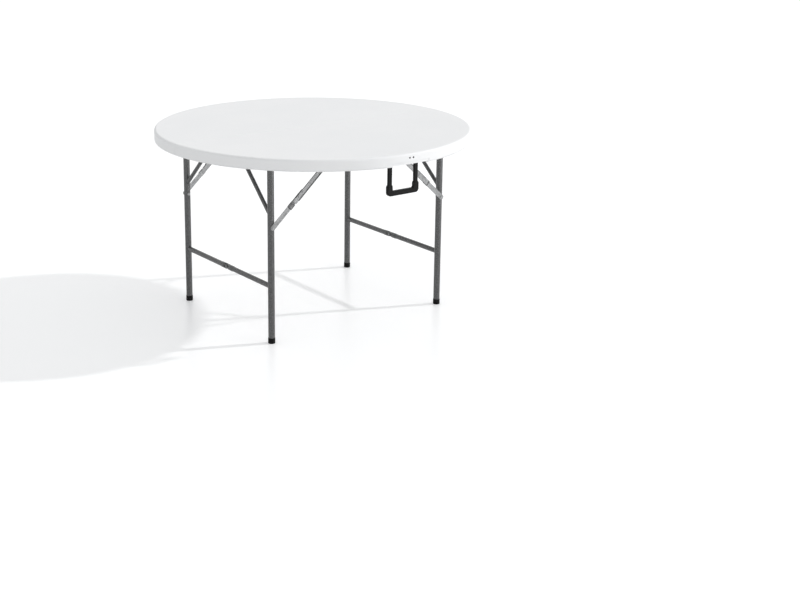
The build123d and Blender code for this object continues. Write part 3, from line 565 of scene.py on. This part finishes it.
black_plastic, tree, shader, place = new_finish("black_moulded_plastic", IOR=1.5)
shader.inputs["Specular IOR Level"].default_value = BLACK_GLOSS
grain = use_effect(tree, moulded_grain, 1, 1, Place=place, Cells_per_metre=1600.0)
edges = use_effect(tree, worn_edges, 1, 2, Place=place, Width=0.0007, Amount=0.35)
wiped = use_effect(tree, handling, 1, 3, Place=place, Patches_per_metre=25.0, Dust=0.15)
clouded = tint(tree, wiped["Cloud"], BLACK_LOW, BLACK_HIGH, 3)
rubbed = tint(tree, edges["Wear"], clouded, BLACK_WORN, 4)
feed(tree, tint(tree, wiped["Dust"], rubbed, BLACK_DUST, 5), shader.inputs["Base Color"])
feed(tree, between(tree, wiped["Cloud"], 0.0, 1.0, *BLACK_ROUGHNESS, 4, 2),
     shader.inputs["Roughness"])
dent(tree, shader, grain["Height"], BLACK_GRAIN_DEPTH, GRAIN_STRENGTH)
finishes["black_plastic"] = black_plastic
print(black_plastic.name)

# %% [markdown]
# ### Hammered paint
#
# The steel frames have a dark grey hammered coat. The pools are dark and smooth, the ridges
# brighter and rougher, and a fine flake glints all over. The pools are real dents, a tenth
# of a millimetre deep, so that the long highlight on each leg breaks up.

# %% Hammered paint
POOL_GREY, RIDGE_GREY, FLAKE_GREY = grey(0.05, -0.01), grey(0.13, -0.005), grey(0.19)
PAINT_WORN = grey(0.3, 0.01)
PAINT_DUST = grey(0.4, 0.03)
FLAKE_AMOUNT = 0.35
COAT_AMOUNT = 0.15
COAT_ROUGHNESS = 0.3
PAINT_ROUGHNESS = (0.2, 0.36)
POOL_DEPTH = 0.0001
POOL_STRENGTH = 0.5

hammered_paint, tree, shader, place = new_finish("hammered_grey_paint", Metallic=0.8)
shader.inputs["Coat Weight"].default_value = COAT_AMOUNT
shader.inputs["Coat Roughness"].default_value = COAT_ROUGHNESS
pattern = use_effect(tree, hammered_dimples, 1, 1, Place=place, Pools_per_metre=310.0)
edges = use_effect(tree, worn_edges, 1, 2, Place=place, Width=0.0006, Amount=0.45)
wiped = use_effect(tree, handling, 1, 3, Place=place, Patches_per_metre=9.0, Dust=0.3)
pooled = tint(tree, pattern["Ridge"], POOL_GREY, RIDGE_GREY, 2)
flake_mask = calculate(tree, "MULTIPLY", pattern["Flake"], FLAKE_AMOUNT, 2, 3)
flaked = tint(tree, flake_mask, pooled, FLAKE_GREY, 3)
rubbed = tint(tree, edges["Wear"], flaked, PAINT_WORN, 4)
feed(tree, tint(tree, wiped["Dust"], rubbed, PAINT_DUST, 5), shader.inputs["Base Color"])
feed(tree, between(tree, pattern["Ridge"], 0.0, 1.0, *PAINT_ROUGHNESS, 4, 2),
     shader.inputs["Roughness"])
dent(tree, shader, pattern["Height"], POOL_DEPTH, POOL_STRENGTH)
finishes["hammered_paint"] = hammered_paint
print(hammered_paint.name)

# %% [markdown]
# ### Zinc plate
#
# The stays, rivets and screws are plated steel: bright, but never quite clean. Plating shows
# faint cells of slightly different grey and fine lines from rolling. Metal has no colour of
# its own besides what it mirrors, so the base colour stays near a middle grey.

# %% Zinc plate
SPANGLE_SCALE = 420.0
SPANGLE_LOW, SPANGLE_HIGH = grey(0.21, -0.02), grey(0.33, -0.01)
ROLLING_STRETCH = (1.0, 1.0, 14.0)
ROLLING_SCALE = 160.0
ROLLING_RANGE = (0.3, 0.7)
ZINC_DULL = grey(0.2, 0.01)
ZINC_DULLING = 0.5
ZINC_POLISHED = grey(0.5)
ZINC_DUST = grey(0.5, 0.03)
ZINC_ROUGHNESS = (0.36, 0.54)
ROLLING_DEPTH = 0.00003
ROLLING_STRENGTH = 0.5

zinc, tree, shader, place = new_finish("zinc_plate", Metallic=1.0)
spangle = cells(tree, place, SPANGLE_SCALE, "F1")
spangle_grey = put(tree, "ShaderNodeSeparateColor", 2, 0)
feed(tree, spangle.outputs["Color"], spangle_grey.inputs[0])
rolling = put(tree, "ShaderNodeMapping", 1, 1)
rolling.inputs["Scale"].default_value = ROLLING_STRETCH
feed(tree, place, rolling.inputs["Vector"])
lines = noise(tree, rolling.outputs[0], ROLLING_SCALE, 3.0, 2, 1)
edges = use_effect(tree, worn_edges, 1, 3, Place=place, Width=0.0005, Amount=0.6)
wiped = use_effect(tree, handling, 1, 4, Place=place, Patches_per_metre=14.0, Dust=0.3)
celled = tint(tree, spangle_grey.outputs[0], SPANGLE_LOW, SPANGLE_HIGH, 3)
dull_mask = calculate(tree, "MULTIPLY", wiped["Cloud"], ZINC_DULLING, 3, 3)
dulled = tint(tree, dull_mask, celled, ZINC_DULL, 4)
polished = tint(tree, edges["Wear"], dulled, ZINC_POLISHED, 5)
feed(tree, tint(tree, wiped["Dust"], polished, ZINC_DUST, 6), shader.inputs["Base Color"])
feed(tree, between(tree, lines.outputs[0], *ROLLING_RANGE, *ZINC_ROUGHNESS, 4, 2),
     shader.inputs["Roughness"])
dent(tree, shader, lines.outputs[0], ROLLING_DEPTH, ROLLING_STRENGTH)
finishes["zinc"] = zinc
print(zinc.name)

# %% [markdown]
# ## Paint the CAD nodes
#
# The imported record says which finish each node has. Every node's material slots get the
# matching finish; the meshes stay as they are.

# %% Give every node its finish
for name, node_object in cad_nodes.items():
    finish = finishes[slot_of[name]]
    if not node_object.material_slots:
        node_object.data.materials.append(finish)
    for material_slot in node_object.material_slots:
        material_slot.material = finish
print("painted", len(cad_nodes), "nodes")

# %% [markdown]
# ## Making and handing in a piece
#
# New pieces are modelled with bmesh. Each one is built about its own axis first and then
# moved to its place, so that the object itself stays at the origin, like a CAD node. At the
# end its normals are turned outward, and the piece is told which body it rides on and which
# finish it has. What is done at every leg goes through the four corners in turn. The legs'
# radius and the height of the two pivots are read from the model once.

# %% Helpers for new pieces
SHARP_ANGLE = radians(38)
MERGE_DISTANCE = 1e-7


def points_in(geometry):
    """The vertices among what an operator gives back."""
    return [item for item in geometry if isinstance(item, bmesh.types.BMVert)]


def edges_in(geometry):
    """The edges among what an operator gives back."""
    return [item for item in geometry if isinstance(item, bmesh.types.BMEdge)]


def add_copy(shape, part, place):
    """Add a finished part to a shape at a place, and leave the part as it is."""
    mesh = bpy.data.meshes.new("copy")
    part.to_mesh(mesh)
    mesh.transform(place)
    shape.from_mesh(mesh)
    bpy.data.meshes.remove(mesh)


def turned(outline, steps):
    """Spin an outline of (radius, height) points once round the upright axis."""
    part = bmesh.new()
    points = [part.verts.new((radius, 0, height)) for radius, height in outline]
    lines = [part.edges.new(pair) for pair in zip(points, points[1:])]
    bmesh.ops.spin(part, geom=points + lines, cent=(0, 0, 0), axis=(0, 0, 1), dvec=(0, 0, 0),
                   angle=2 * pi, steps=steps, use_merge=True)
    bmesh.ops.remove_doubles(part, verts=part.verts, dist=MERGE_DISTANCE)
    bmesh.ops.recalc_face_normals(part, faces=part.faces)
    return part


def hand_in(name, shape, slot, body, replaced=()):
    """Make the piece's object, finish it, and say what it rides on and stands for."""
    bmesh.ops.recalc_face_normals(shape, faces=shape.faces)
    mesh = bpy.data.meshes.new(name)
    shape.to_mesh(mesh)
    shape.free()
    for polygon in mesh.polygons:
        polygon.use_smooth = True
    mesh.set_sharp_from_angle(angle=SHARP_ANGLE)
    mesh.materials.append(finishes[slot])
    piece = bpy.data.objects.new(name, mesh)
    scene.collection.objects.link(piece)
    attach(piece, body)
    if replaced:
        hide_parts(*replaced)
    print(name, len(mesh.polygons), "faces on", body)
    return piece


def axis_place(point, direction):
    """Matrix that puts a part's upright axis at a point, along a direction."""
    turn = Vector(direction).to_track_quat("Z", "Y").to_matrix().to_4x4()
    return Matrix.Translation(point) @ turn


SIDES_X = ((-1, "left"), (1, "right"))
SIDES_Y = ((-1, "front"), (1, "rear"))


def corners():
    """For each leg: its sides along X and Y, its leg frame's side name and its own name."""
    for side_x, width_name in SIDES_X:
        for side_y, depth_name in SIDES_Y:
            yield side_x, side_y, width_name, f"{width_name}_{depth_name}"


leg_low, leg_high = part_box("left_front_leg")
leg_radius = (leg_high.x - leg_low.x) / 2
pivot_height = {joint["child"].split("_")[0]: joint["pos_m"][2]
                for joint in frame["joints"] if joint["name"].endswith("legs_fold")}
print("leg radius", leg_radius, "pivots at", pivot_height)

# %% [markdown]
# ## Foot caps
#
# Each leg ends in a black plastic cap. It is turned, so one outline and one spin make it:
# flat underneath, a rounded lower edge, three shallow grooves that leave grip ribs between
# them, and a rounded lip at the top. The CAD cap is a plain cup of the same size, and this
# one takes its place.

# %% Turn the foot caps
CAP_BORE_GAP = 0.00005
CAP_FLOOR = 0.006
CAP_STEPS = 64
CAP_LOWER_EDGE = ((0.0022, 0), (0.0008, 0.0005), (0, 0.0019))
CAP_UPPER_EDGE = ((0, 0.0009), (0.0003, 0.0002), (0.0006, 0))
CAP_GROOVE_HEIGHTS = (0.0065, 0.0095, 0.0125)
CAP_GROOVE = ((0, -0.0007), (0.0004, -0.0003), (0.0004, 0.0003), (0, 0.0007))


def cap_outline(radius, bore, height):
    """Outline of a foot cap, from the middle of its underside up, over and down its bore."""
    outline = [(0, 0)] + [(radius - inward, up) for inward, up in CAP_LOWER_EDGE]
    for groove in CAP_GROOVE_HEIGHTS:
        outline += [(radius - inward, groove + up) for inward, up in CAP_GROOVE]
    outline += [(radius - inward, height - down) for inward, down in CAP_UPPER_EDGE]
    return outline + [(bore, height), (bore, CAP_FLOOR), (0, CAP_FLOOR)]


leg_middles = {}
for _, _, width_name, corner in corners():
    low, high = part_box(f"{corner}_foot_cap")
    middle = (low + high) / 2
    leg_middles[corner] = middle
    outline = cap_outline((high.x - low.x) / 2, leg_radius + CAP_BORE_GAP, high.z)
    cap = turned(outline, CAP_STEPS)
    shape = bmesh.new()
    add_copy(shape, cap, Matrix.Translation((middle.x, middle.y, 0)))
    cap.free()
    hand_in(f"{corner}_ribbed_cap", shape, "black_plastic", f"{width_name}_leg_frame",
            [f"{corner}_foot_cap"])

# %% [markdown]
# ## Weld beads
#
# The tubes of a frame are welded: the crossbar and the slanted brace to the leg, the brace
# and the leg to the pivot tube. A bead is a thin ring round the joining tube, with the small
# even ripples of a welding machine. A full spin of a small circle makes the ring. Then each
# point slides along the tube until it meets the wall of the other tube, which gives the
# saddle-shaped line of a real joint.

# %% A helper that lays one bead
BEAD_RADIUS = 0.001
BEAD_SIDES = 8
BEAD_SEAT_SHARE = 0.2
BEAD_RIPPLES = 26
BEAD_STEPS_PER_RIPPLE = 4
BEAD_RIPPLE_SHARE = 0.16


def slide_to_wall(point, along, wall_point, wall_along, wall_radius):
    """How far a point moves along a direction to leave a round wall."""
    offset = point - wall_point
    offset -= offset.dot(wall_along) * wall_along
    step = along - along.dot(wall_along) * wall_along
    middle = offset.dot(step)
    spread = middle ** 2 - step.length_squared * (offset.length_squared - wall_radius ** 2)
    return (sqrt(max(spread, 0.0)) - middle) / step.length_squared


def lay_bead(shape, point, along, tube_radius, wall_along, wall_radius):
    """Add the bead where a tube that leaves a point along a direction meets a round wall."""
    ring_radius = tube_radius + BEAD_RADIUS * BEAD_SEAT_SHARE
    section = bmesh.new()
    bmesh.ops.create_circle(section, radius=BEAD_RADIUS, segments=BEAD_SIDES)
    bmesh.ops.rotate(section, verts=section.verts, cent=(0, 0, 0),
                     matrix=Matrix.Rotation(radians(90), 3, "X"))
    bmesh.ops.translate(section, verts=section.verts, vec=(ring_radius, 0, 0))
    bmesh.ops.spin(section, geom=section.verts[:] + section.edges[:], cent=(0, 0, 0),
                   axis=(0, 0, 1), dvec=(0, 0, 0), angle=2 * pi,
                   steps=BEAD_RIPPLES * BEAD_STEPS_PER_RIPPLE, use_merge=True)
    bmesh.ops.remove_doubles(section, verts=section.verts, dist=MERGE_DISTANCE)
    place = axis_place(point, along)
    along, wall_along = Vector(along).normalized(), Vector(wall_along)
    for vertex in section.verts:
        turn = atan2(vertex.co.y, vertex.co.x)
        centre = Vector((ring_radius * cos(turn), ring_radius * sin(turn), 0))
        swell = 1 + BEAD_RIPPLE_SHARE * sin(turn * BEAD_RIPPLES)
        slide = slide_to_wall(place @ centre, along, Vector(point), wall_along, wall_radius)
        vertex.co = centre + (vertex.co - centre) * swell + Vector((0, 0, slide))
    add_copy(shape, section, place)
    section.free()


print("beads of", BEAD_RADIUS * 1000, "mm")

# %% Weld the frames
BRACE_FOOT_DEPTH = 0.240
BRACE_HEAD_Y = 0.0825
BRACE_RADIUS = 0.0075
CROSSBAR_RADIUS = 0.0095
TABLE_HEIGHT = cad_corners[1][2]

for _, side_y, width_name, corner in corners():
    x, y = leg_middles[corner].x, leg_middles[corner].y
    bar_low, bar_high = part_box(f"{corner}_crossbar")
    bar_height = (bar_low.z + bar_high.z) / 2
    brace_foot = Vector((x, y, TABLE_HEIGHT - BRACE_FOOT_DEPTH))
    brace_head = Vector((x, side_y * BRACE_HEAD_Y, pivot_height[width_name]))
    brace_along = brace_head - brace_foot
    shape = bmesh.new()
    lay_bead(shape, (x, y, bar_height), (0, -side_y, 0), CROSSBAR_RADIUS,
             (0, 0, 1), leg_radius)
    lay_bead(shape, brace_foot, brace_along, BRACE_RADIUS, (0, 0, 1), leg_radius)
    lay_bead(shape, brace_head, -brace_along, BRACE_RADIUS, (0, 1, 0), leg_radius)
    lay_bead(shape, (x, y, pivot_height[width_name]), (0, 0, -1), leg_radius,
             (0, 1, 0), leg_radius)
    hand_in(f"{corner}_weld_beads", shape, "hammered_paint", f"{width_name}_leg_frame")

# %% [markdown]
# ## Screws with crossed slots
#
# The CAD screws are plain round pins. A real head is a low dome with a crossed slot. The head
# starts as a filled circle, planes cut it into a grid, the faces of the cross are pushed in,
# and the outer edge is drawn out into the wall of the head and then the shank. Every screw
# of the CAD model is replaced at its own place, each turned a little differently, as they
# are when someone has driven them.

# %% Model one screw
SLOT_HALF_WIDTH = 0.00055
SLOT_SHARE = 0.62
SLOT_DEPTH_SHARE = 0.6
SLOT_TAPER_SHARE = 0.86
HEAD_SEGMENTS = 28
HEAD_DROP_SHARE = 0.45
HEAD_CURVE = 2.4


def crossed_screw(radius, height, shank_radius, shank_length):
    """A dome-headed screw: its seat is at zero, its head points up and its shank down."""
    part = bmesh.new()
    bmesh.ops.create_circle(part, cap_ends=True, radius=radius, segments=HEAD_SEGMENTS)
    reach = radius * SLOT_SHARE
    for cut in (SLOT_HALF_WIDTH, reach):
        for normal in ((1, 0, 0), (-1, 0, 0), (0, 1, 0), (0, -1, 0)):
            bmesh.ops.bisect_plane(part, geom=part.verts[:] + part.edges[:] + part.faces[:],
                                   plane_co=Vector(normal) * cut, plane_no=normal,
                                   dist=MERGE_DISTANCE)
    rim_edges = [edge for edge in part.edges if edge.is_boundary]
    for vertex in part.verts:
        away = min(hypot(vertex.co.x, vertex.co.y) / radius, 1.0)
        vertex.co.z = height * (1 - HEAD_DROP_SHARE * away ** HEAD_CURVE)
    slot_faces = []
    for face in part.faces:
        middle = face.calc_center_median()
        across, along = sorted((abs(middle.x), abs(middle.y)))
        if across < SLOT_HALF_WIDTH and along < reach:
            slot_faces.append(face)
    wall = bmesh.ops.extrude_edge_only(part, edges=rim_edges)["geom"]
    for vertex in points_in(wall):
        vertex.co.z = 0
    collar = bmesh.ops.extrude_edge_only(part, edges=edges_in(wall))["geom"]
    bmesh.ops.scale(part, verts=points_in(collar), vec=[shank_radius / radius] * 2 + [1])
    shank = bmesh.ops.extrude_edge_only(part, edges=edges_in(collar))["geom"]
    bmesh.ops.translate(part, verts=points_in(shank), vec=(0, 0, -shank_length))
    bmesh.ops.edgeloop_fill(part, edges=edges_in(shank))
    slot_points = points_in(bmesh.ops.extrude_face_region(part, geom=slot_faces)["geom"])
    bmesh.ops.translate(part, verts=slot_points, vec=(0, 0, -height * SLOT_DEPTH_SHARE))
    bmesh.ops.scale(part, verts=slot_points, vec=(SLOT_TAPER_SHARE, SLOT_TAPER_SHARE, 1))
    bmesh.ops.recalc_face_normals(part, faces=part.faces)
    return part


print("screws have", HEAD_SEGMENTS, "sides")

# %% [markdown]
# The places come from the CAD nodes themselves. A copy of a node's mesh is merged, and each
# island of joined points is one screw.

# %% Find each screw's box
LOOSE_DISTANCE = 1e-6
SORT_DIGITS = 4


def islands(node):
    """Lowest and highest corners of the separate solids in one CAD node."""
    copy = bmesh.new()
    copy.from_mesh(cad_nodes[node].data)
    bmesh.ops.remove_doubles(copy, verts=copy.verts, dist=LOOSE_DISTANCE)
    copy.verts.ensure_lookup_table()
    seen = set()
    boxes = []
    for start in copy.verts:
        if start.index in seen:
            continue
        seen.add(start.index)
        waiting, found = [start], []
        while waiting:
            vertex = waiting.pop()
            found.append(vertex.co.copy())
            for edge in vertex.link_edges:
                other = edge.other_vert(vertex)
                if other.index not in seen:
                    seen.add(other.index)
                    waiting.append(other)
        boxes.append((Vector([min(co[axis] for co in found) for axis in range(3)]),
                      Vector([max(co[axis] for co in found) for axis in range(3)])))
    copy.free()
    return sorted(boxes, key=lambda box: [round(value, SORT_DIGITS) for value in box[0]])


print("places can be found")

# %% Drive the screws under the top
SCREW_RADIUS = 0.002
SCREW_TURN = 37.0
HEAD_HEIGHTS = {"rail_screws": 0.002, "saddle_screws": 0.002,
                "handle_bracket_screws": 0.002, "fold_hinge_screws": 0.001}

for node, head_height in HEAD_HEIGHTS.items():
    shape = bmesh.new()
    for index, (low, high) in enumerate(islands(node)):
        head_radius = (high.x - low.x) / 2
        shank_length = high.z - low.z - head_height
        screw = crossed_screw(head_radius, head_height, SCREW_RADIUS, shank_length)
        seat = Vector(((low.x + high.x) / 2, (low.y + high.y) / 2, low.z + head_height))
        turn = Matrix.Rotation(radians(index * SCREW_TURN), 4, "Z")
        add_copy(shape, screw, axis_place(seat, (0, 0, -1)) @ turn)
        screw.free()
    hand_in(f"crossed_{node}", shape, "zinc", "table_top", [node])

# %% [markdown]
# The two small screws in the rim above the handle lie on their side: their heads point to
# the front. They are black, and they are the two dark dots in the photograph.

# %% Set the rim screws
RIM_HEAD_HEIGHT = 0.0012
RIM_FIRST_TURN = 20

shape = bmesh.new()
for index, (low, high) in enumerate(islands("rim_screws")):
    head_radius = (high.x - low.x) / 2
    shank_length = high.y - low.y - RIM_HEAD_HEIGHT
    screw = crossed_screw(head_radius, RIM_HEAD_HEIGHT, SCREW_RADIUS, shank_length)
    seat = Vector(((low.x + high.x) / 2, low.y + RIM_HEAD_HEIGHT, (low.z + high.z) / 2))
    turn = Matrix.Rotation(radians(RIM_FIRST_TURN + index * SCREW_TURN), 4, "Z")
    add_copy(shape, screw, axis_place(seat, (0, -1, 0)) @ turn)
    screw.free()
hand_in("crossed_rim_screws", shape, "black_plastic", "table_top", ["rim_screws"])

# %% [markdown]
# ## Catches on the stays
#
# Every folding stay has a small dark catch on its lower link, just under the end of the
# upper link, where it holds the straight stay. It is a clip with the section of a flat C:
# eight points make a face, the face is drawn out to the catch's length, and its edges are
# rounded. It grips the link's two edges, and its back has a shallow recess for the thumb.

# %% Clip the catches on
CATCH_START = 0.0935
CATCH_LENGTH = 0.024
CATCH_HALF_WIDTH = 0.0108
CATCH_ROUNDING = 0.00035
LINK_HALF_WIDTH = 0.0095
LINK_THICKNESS = 0.002
CATCH_TOP = 0.00415
CATCH_GAP = 0.00005
CATCH_RECESS_MARGIN = 0.004
CATCH_RECESS_SLOPE = 0.0006
CATCH_RECESS_DEPTH = 0.0006
STAY_ANGLE = radians(42.3)


def catch_clip():
    """A C-shaped clip: X along the link, Y across it, Z away from its inner face."""
    inner, seat = LINK_HALF_WIDTH + CATCH_GAP, LINK_THICKNESS + CATCH_GAP
    outline = [(-CATCH_HALF_WIDTH, CATCH_GAP), (-CATCH_HALF_WIDTH, CATCH_TOP),
               (CATCH_HALF_WIDTH, CATCH_TOP), (CATCH_HALF_WIDTH, CATCH_GAP),
               (inner, CATCH_GAP), (inner, seat), (-inner, seat), (-inner, CATCH_GAP)]
    clip = bmesh.new()
    clip.faces.new([clip.verts.new((CATCH_START, across, out)) for across, out in outline])
    drawn = bmesh.ops.extrude_face_region(clip, geom=clip.faces[:])["geom"]
    bmesh.ops.translate(clip, verts=points_in(drawn), vec=(CATCH_LENGTH, 0, 0))
    bmesh.ops.recalc_face_normals(clip, faces=clip.faces)
    back = [max(clip.faces, key=lambda face: face.calc_center_median().z)]
    bmesh.ops.inset_region(clip, faces=back, thickness=CATCH_RECESS_MARGIN, depth=0)
    bmesh.ops.inset_region(clip, faces=back, thickness=CATCH_RECESS_SLOPE,
                           depth=-CATCH_RECESS_DEPTH)
    bmesh.ops.bevel(clip, geom=clip.edges[:], offset=CATCH_ROUNDING, segments=2, profile=0.5,
                    affect="EDGES", material=-1, clamp_overlap=True)
    return clip


for side_x, side_y, _, corner in corners():
    low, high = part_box(f"{corner}_lower_link")
    rivet = Vector(((high.x if side_x > 0 else low.x) - side_x * LINK_HALF_WIDTH,
                    low.y if side_y > 0 else high.y, low.z + LINK_HALF_WIDTH))
    along = Vector((-side_x * cos(STAY_ANGLE), 0, sin(STAY_ANGLE)))
    outward = Vector((0, side_y, 0))
    turn = Matrix((along, outward.cross(along), outward)).transposed().to_4x4()
    clip = catch_clip()
    shape = bmesh.new()
    add_copy(shape, clip, Matrix.Translation(rivet) @ turn)
    clip.free()
    hand_in(f"{corner}_stay_catch", shape, "hammered_paint", f"{corner}_lower_stay")

# %% [markdown]
# ## Plugs in the pivot tubes
#
# The inner ends of the pivot tubes are open in the CAD model. A factory closes them with a
# black plug: a low dome with a rounded edge over the tube's end, and a short neck inside.

# %% Plug the pivot tubes
PIVOT_WALL = 0.0015
PLUG_STEPS = 40
PLUG_NECK = 0.008
PLUG_NECK_CHAMFER = (0.0003, 0.0004)
PLUG_HEAD = 0.0009
PLUG_ROUNDING = ((0.0002, 0), (0.0004, 0.0005), (0.0014, PLUG_HEAD))

neck = leg_radius - PIVOT_WALL
plug_outline = [(0, -PLUG_NECK), (neck - PLUG_NECK_CHAMFER[0], -PLUG_NECK),
                (neck, PLUG_NECK_CHAMFER[1] - PLUG_NECK), (neck, 0)]
plug_outline += [(leg_radius - inward, up) for inward, up in PLUG_ROUNDING] + [(0, PLUG_HEAD)]
for _, width_name in SIDES_X:
    shape = bmesh.new()
    for side_y, depth_name in SIDES_Y:
        corner = f"{width_name}_{depth_name}"
        low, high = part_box(f"{corner}_pivot_tube")
        inner_y = high.y if side_y < 0 else low.y
        plug = turned(plug_outline, PLUG_STEPS)
        tube_end = (leg_middles[corner].x, inner_y, pivot_height[width_name])
        add_copy(shape, plug, axis_place(tube_end, (0, -side_y, 0)))
        plug.free()
    hand_in(f"{width_name}_pivot_plugs", shape, "black_plastic", f"{width_name}_leg_frame")

# %% [markdown]
# ## The mould's parting line
#
# A blown panel is made between two halves of a mould, and where they met, a fine raised line
# is left. On these half tops it runs along the lower rounding of the rim. A small hexagon is
# spun through part of a turn, once on each side of the notch in each half.

# %% Draw the parting line
TOP_RADIUS = cad_corners[1][0]
LOWER_ROUNDING = 0.005
LINE_HEIGHT = 0.0018
LINE_HALF_WIDTH = 0.00035
LINE_SIDES = 6
LINE_STEPS = 120
LINE_TO_SEAM = 0.004
NOTCH_HALF_WIDTH = 0.0815

drop = LOWER_ROUNDING - LINE_HEIGHT
line_radius = TOP_RADIUS - LOWER_ROUNDING + sqrt(LOWER_ROUNDING ** 2 - drop ** 2)
rim_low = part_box("front_top_half")[0].z
notch_turn = atan2(NOTCH_HALF_WIDTH, line_radius)
seam_turn = LINE_TO_SEAM / line_radius
for side_y, depth_name in SIDES_Y:
    shape = bmesh.new()
    for side_x, _ in SIDES_X:
        section = bmesh.new()
        bmesh.ops.create_circle(section, cap_ends=True, radius=LINE_HALF_WIDTH,
                                segments=LINE_SIDES)
        bmesh.ops.rotate(section, verts=section.verts, cent=(0, 0, 0),
                         matrix=Matrix.Rotation(radians(90), 3, "X"))
        bmesh.ops.translate(section, verts=section.verts,
                            vec=(line_radius, 0, rim_low + LINE_HEIGHT))
        bmesh.ops.rotate(section, verts=section.verts, cent=(0, 0, 0),
                         matrix=Matrix.Rotation(seam_turn, 3, "Z"))
        bmesh.ops.spin(section, geom=section.faces[:], cent=(0, 0, 0), axis=(0, 0, 1),
                       dvec=(0, 0, 0), angle=pi / 2 - notch_turn - seam_turn, steps=LINE_STEPS)
        bmesh.ops.remove_doubles(section, verts=section.verts, dist=MERGE_DISTANCE)
        add_copy(shape, section, Matrix.Diagonal((side_x, side_y, 1, 1)))
        section.free()
    hand_in(f"{depth_name}_parting_line", shape, "white_plastic", "table_top")
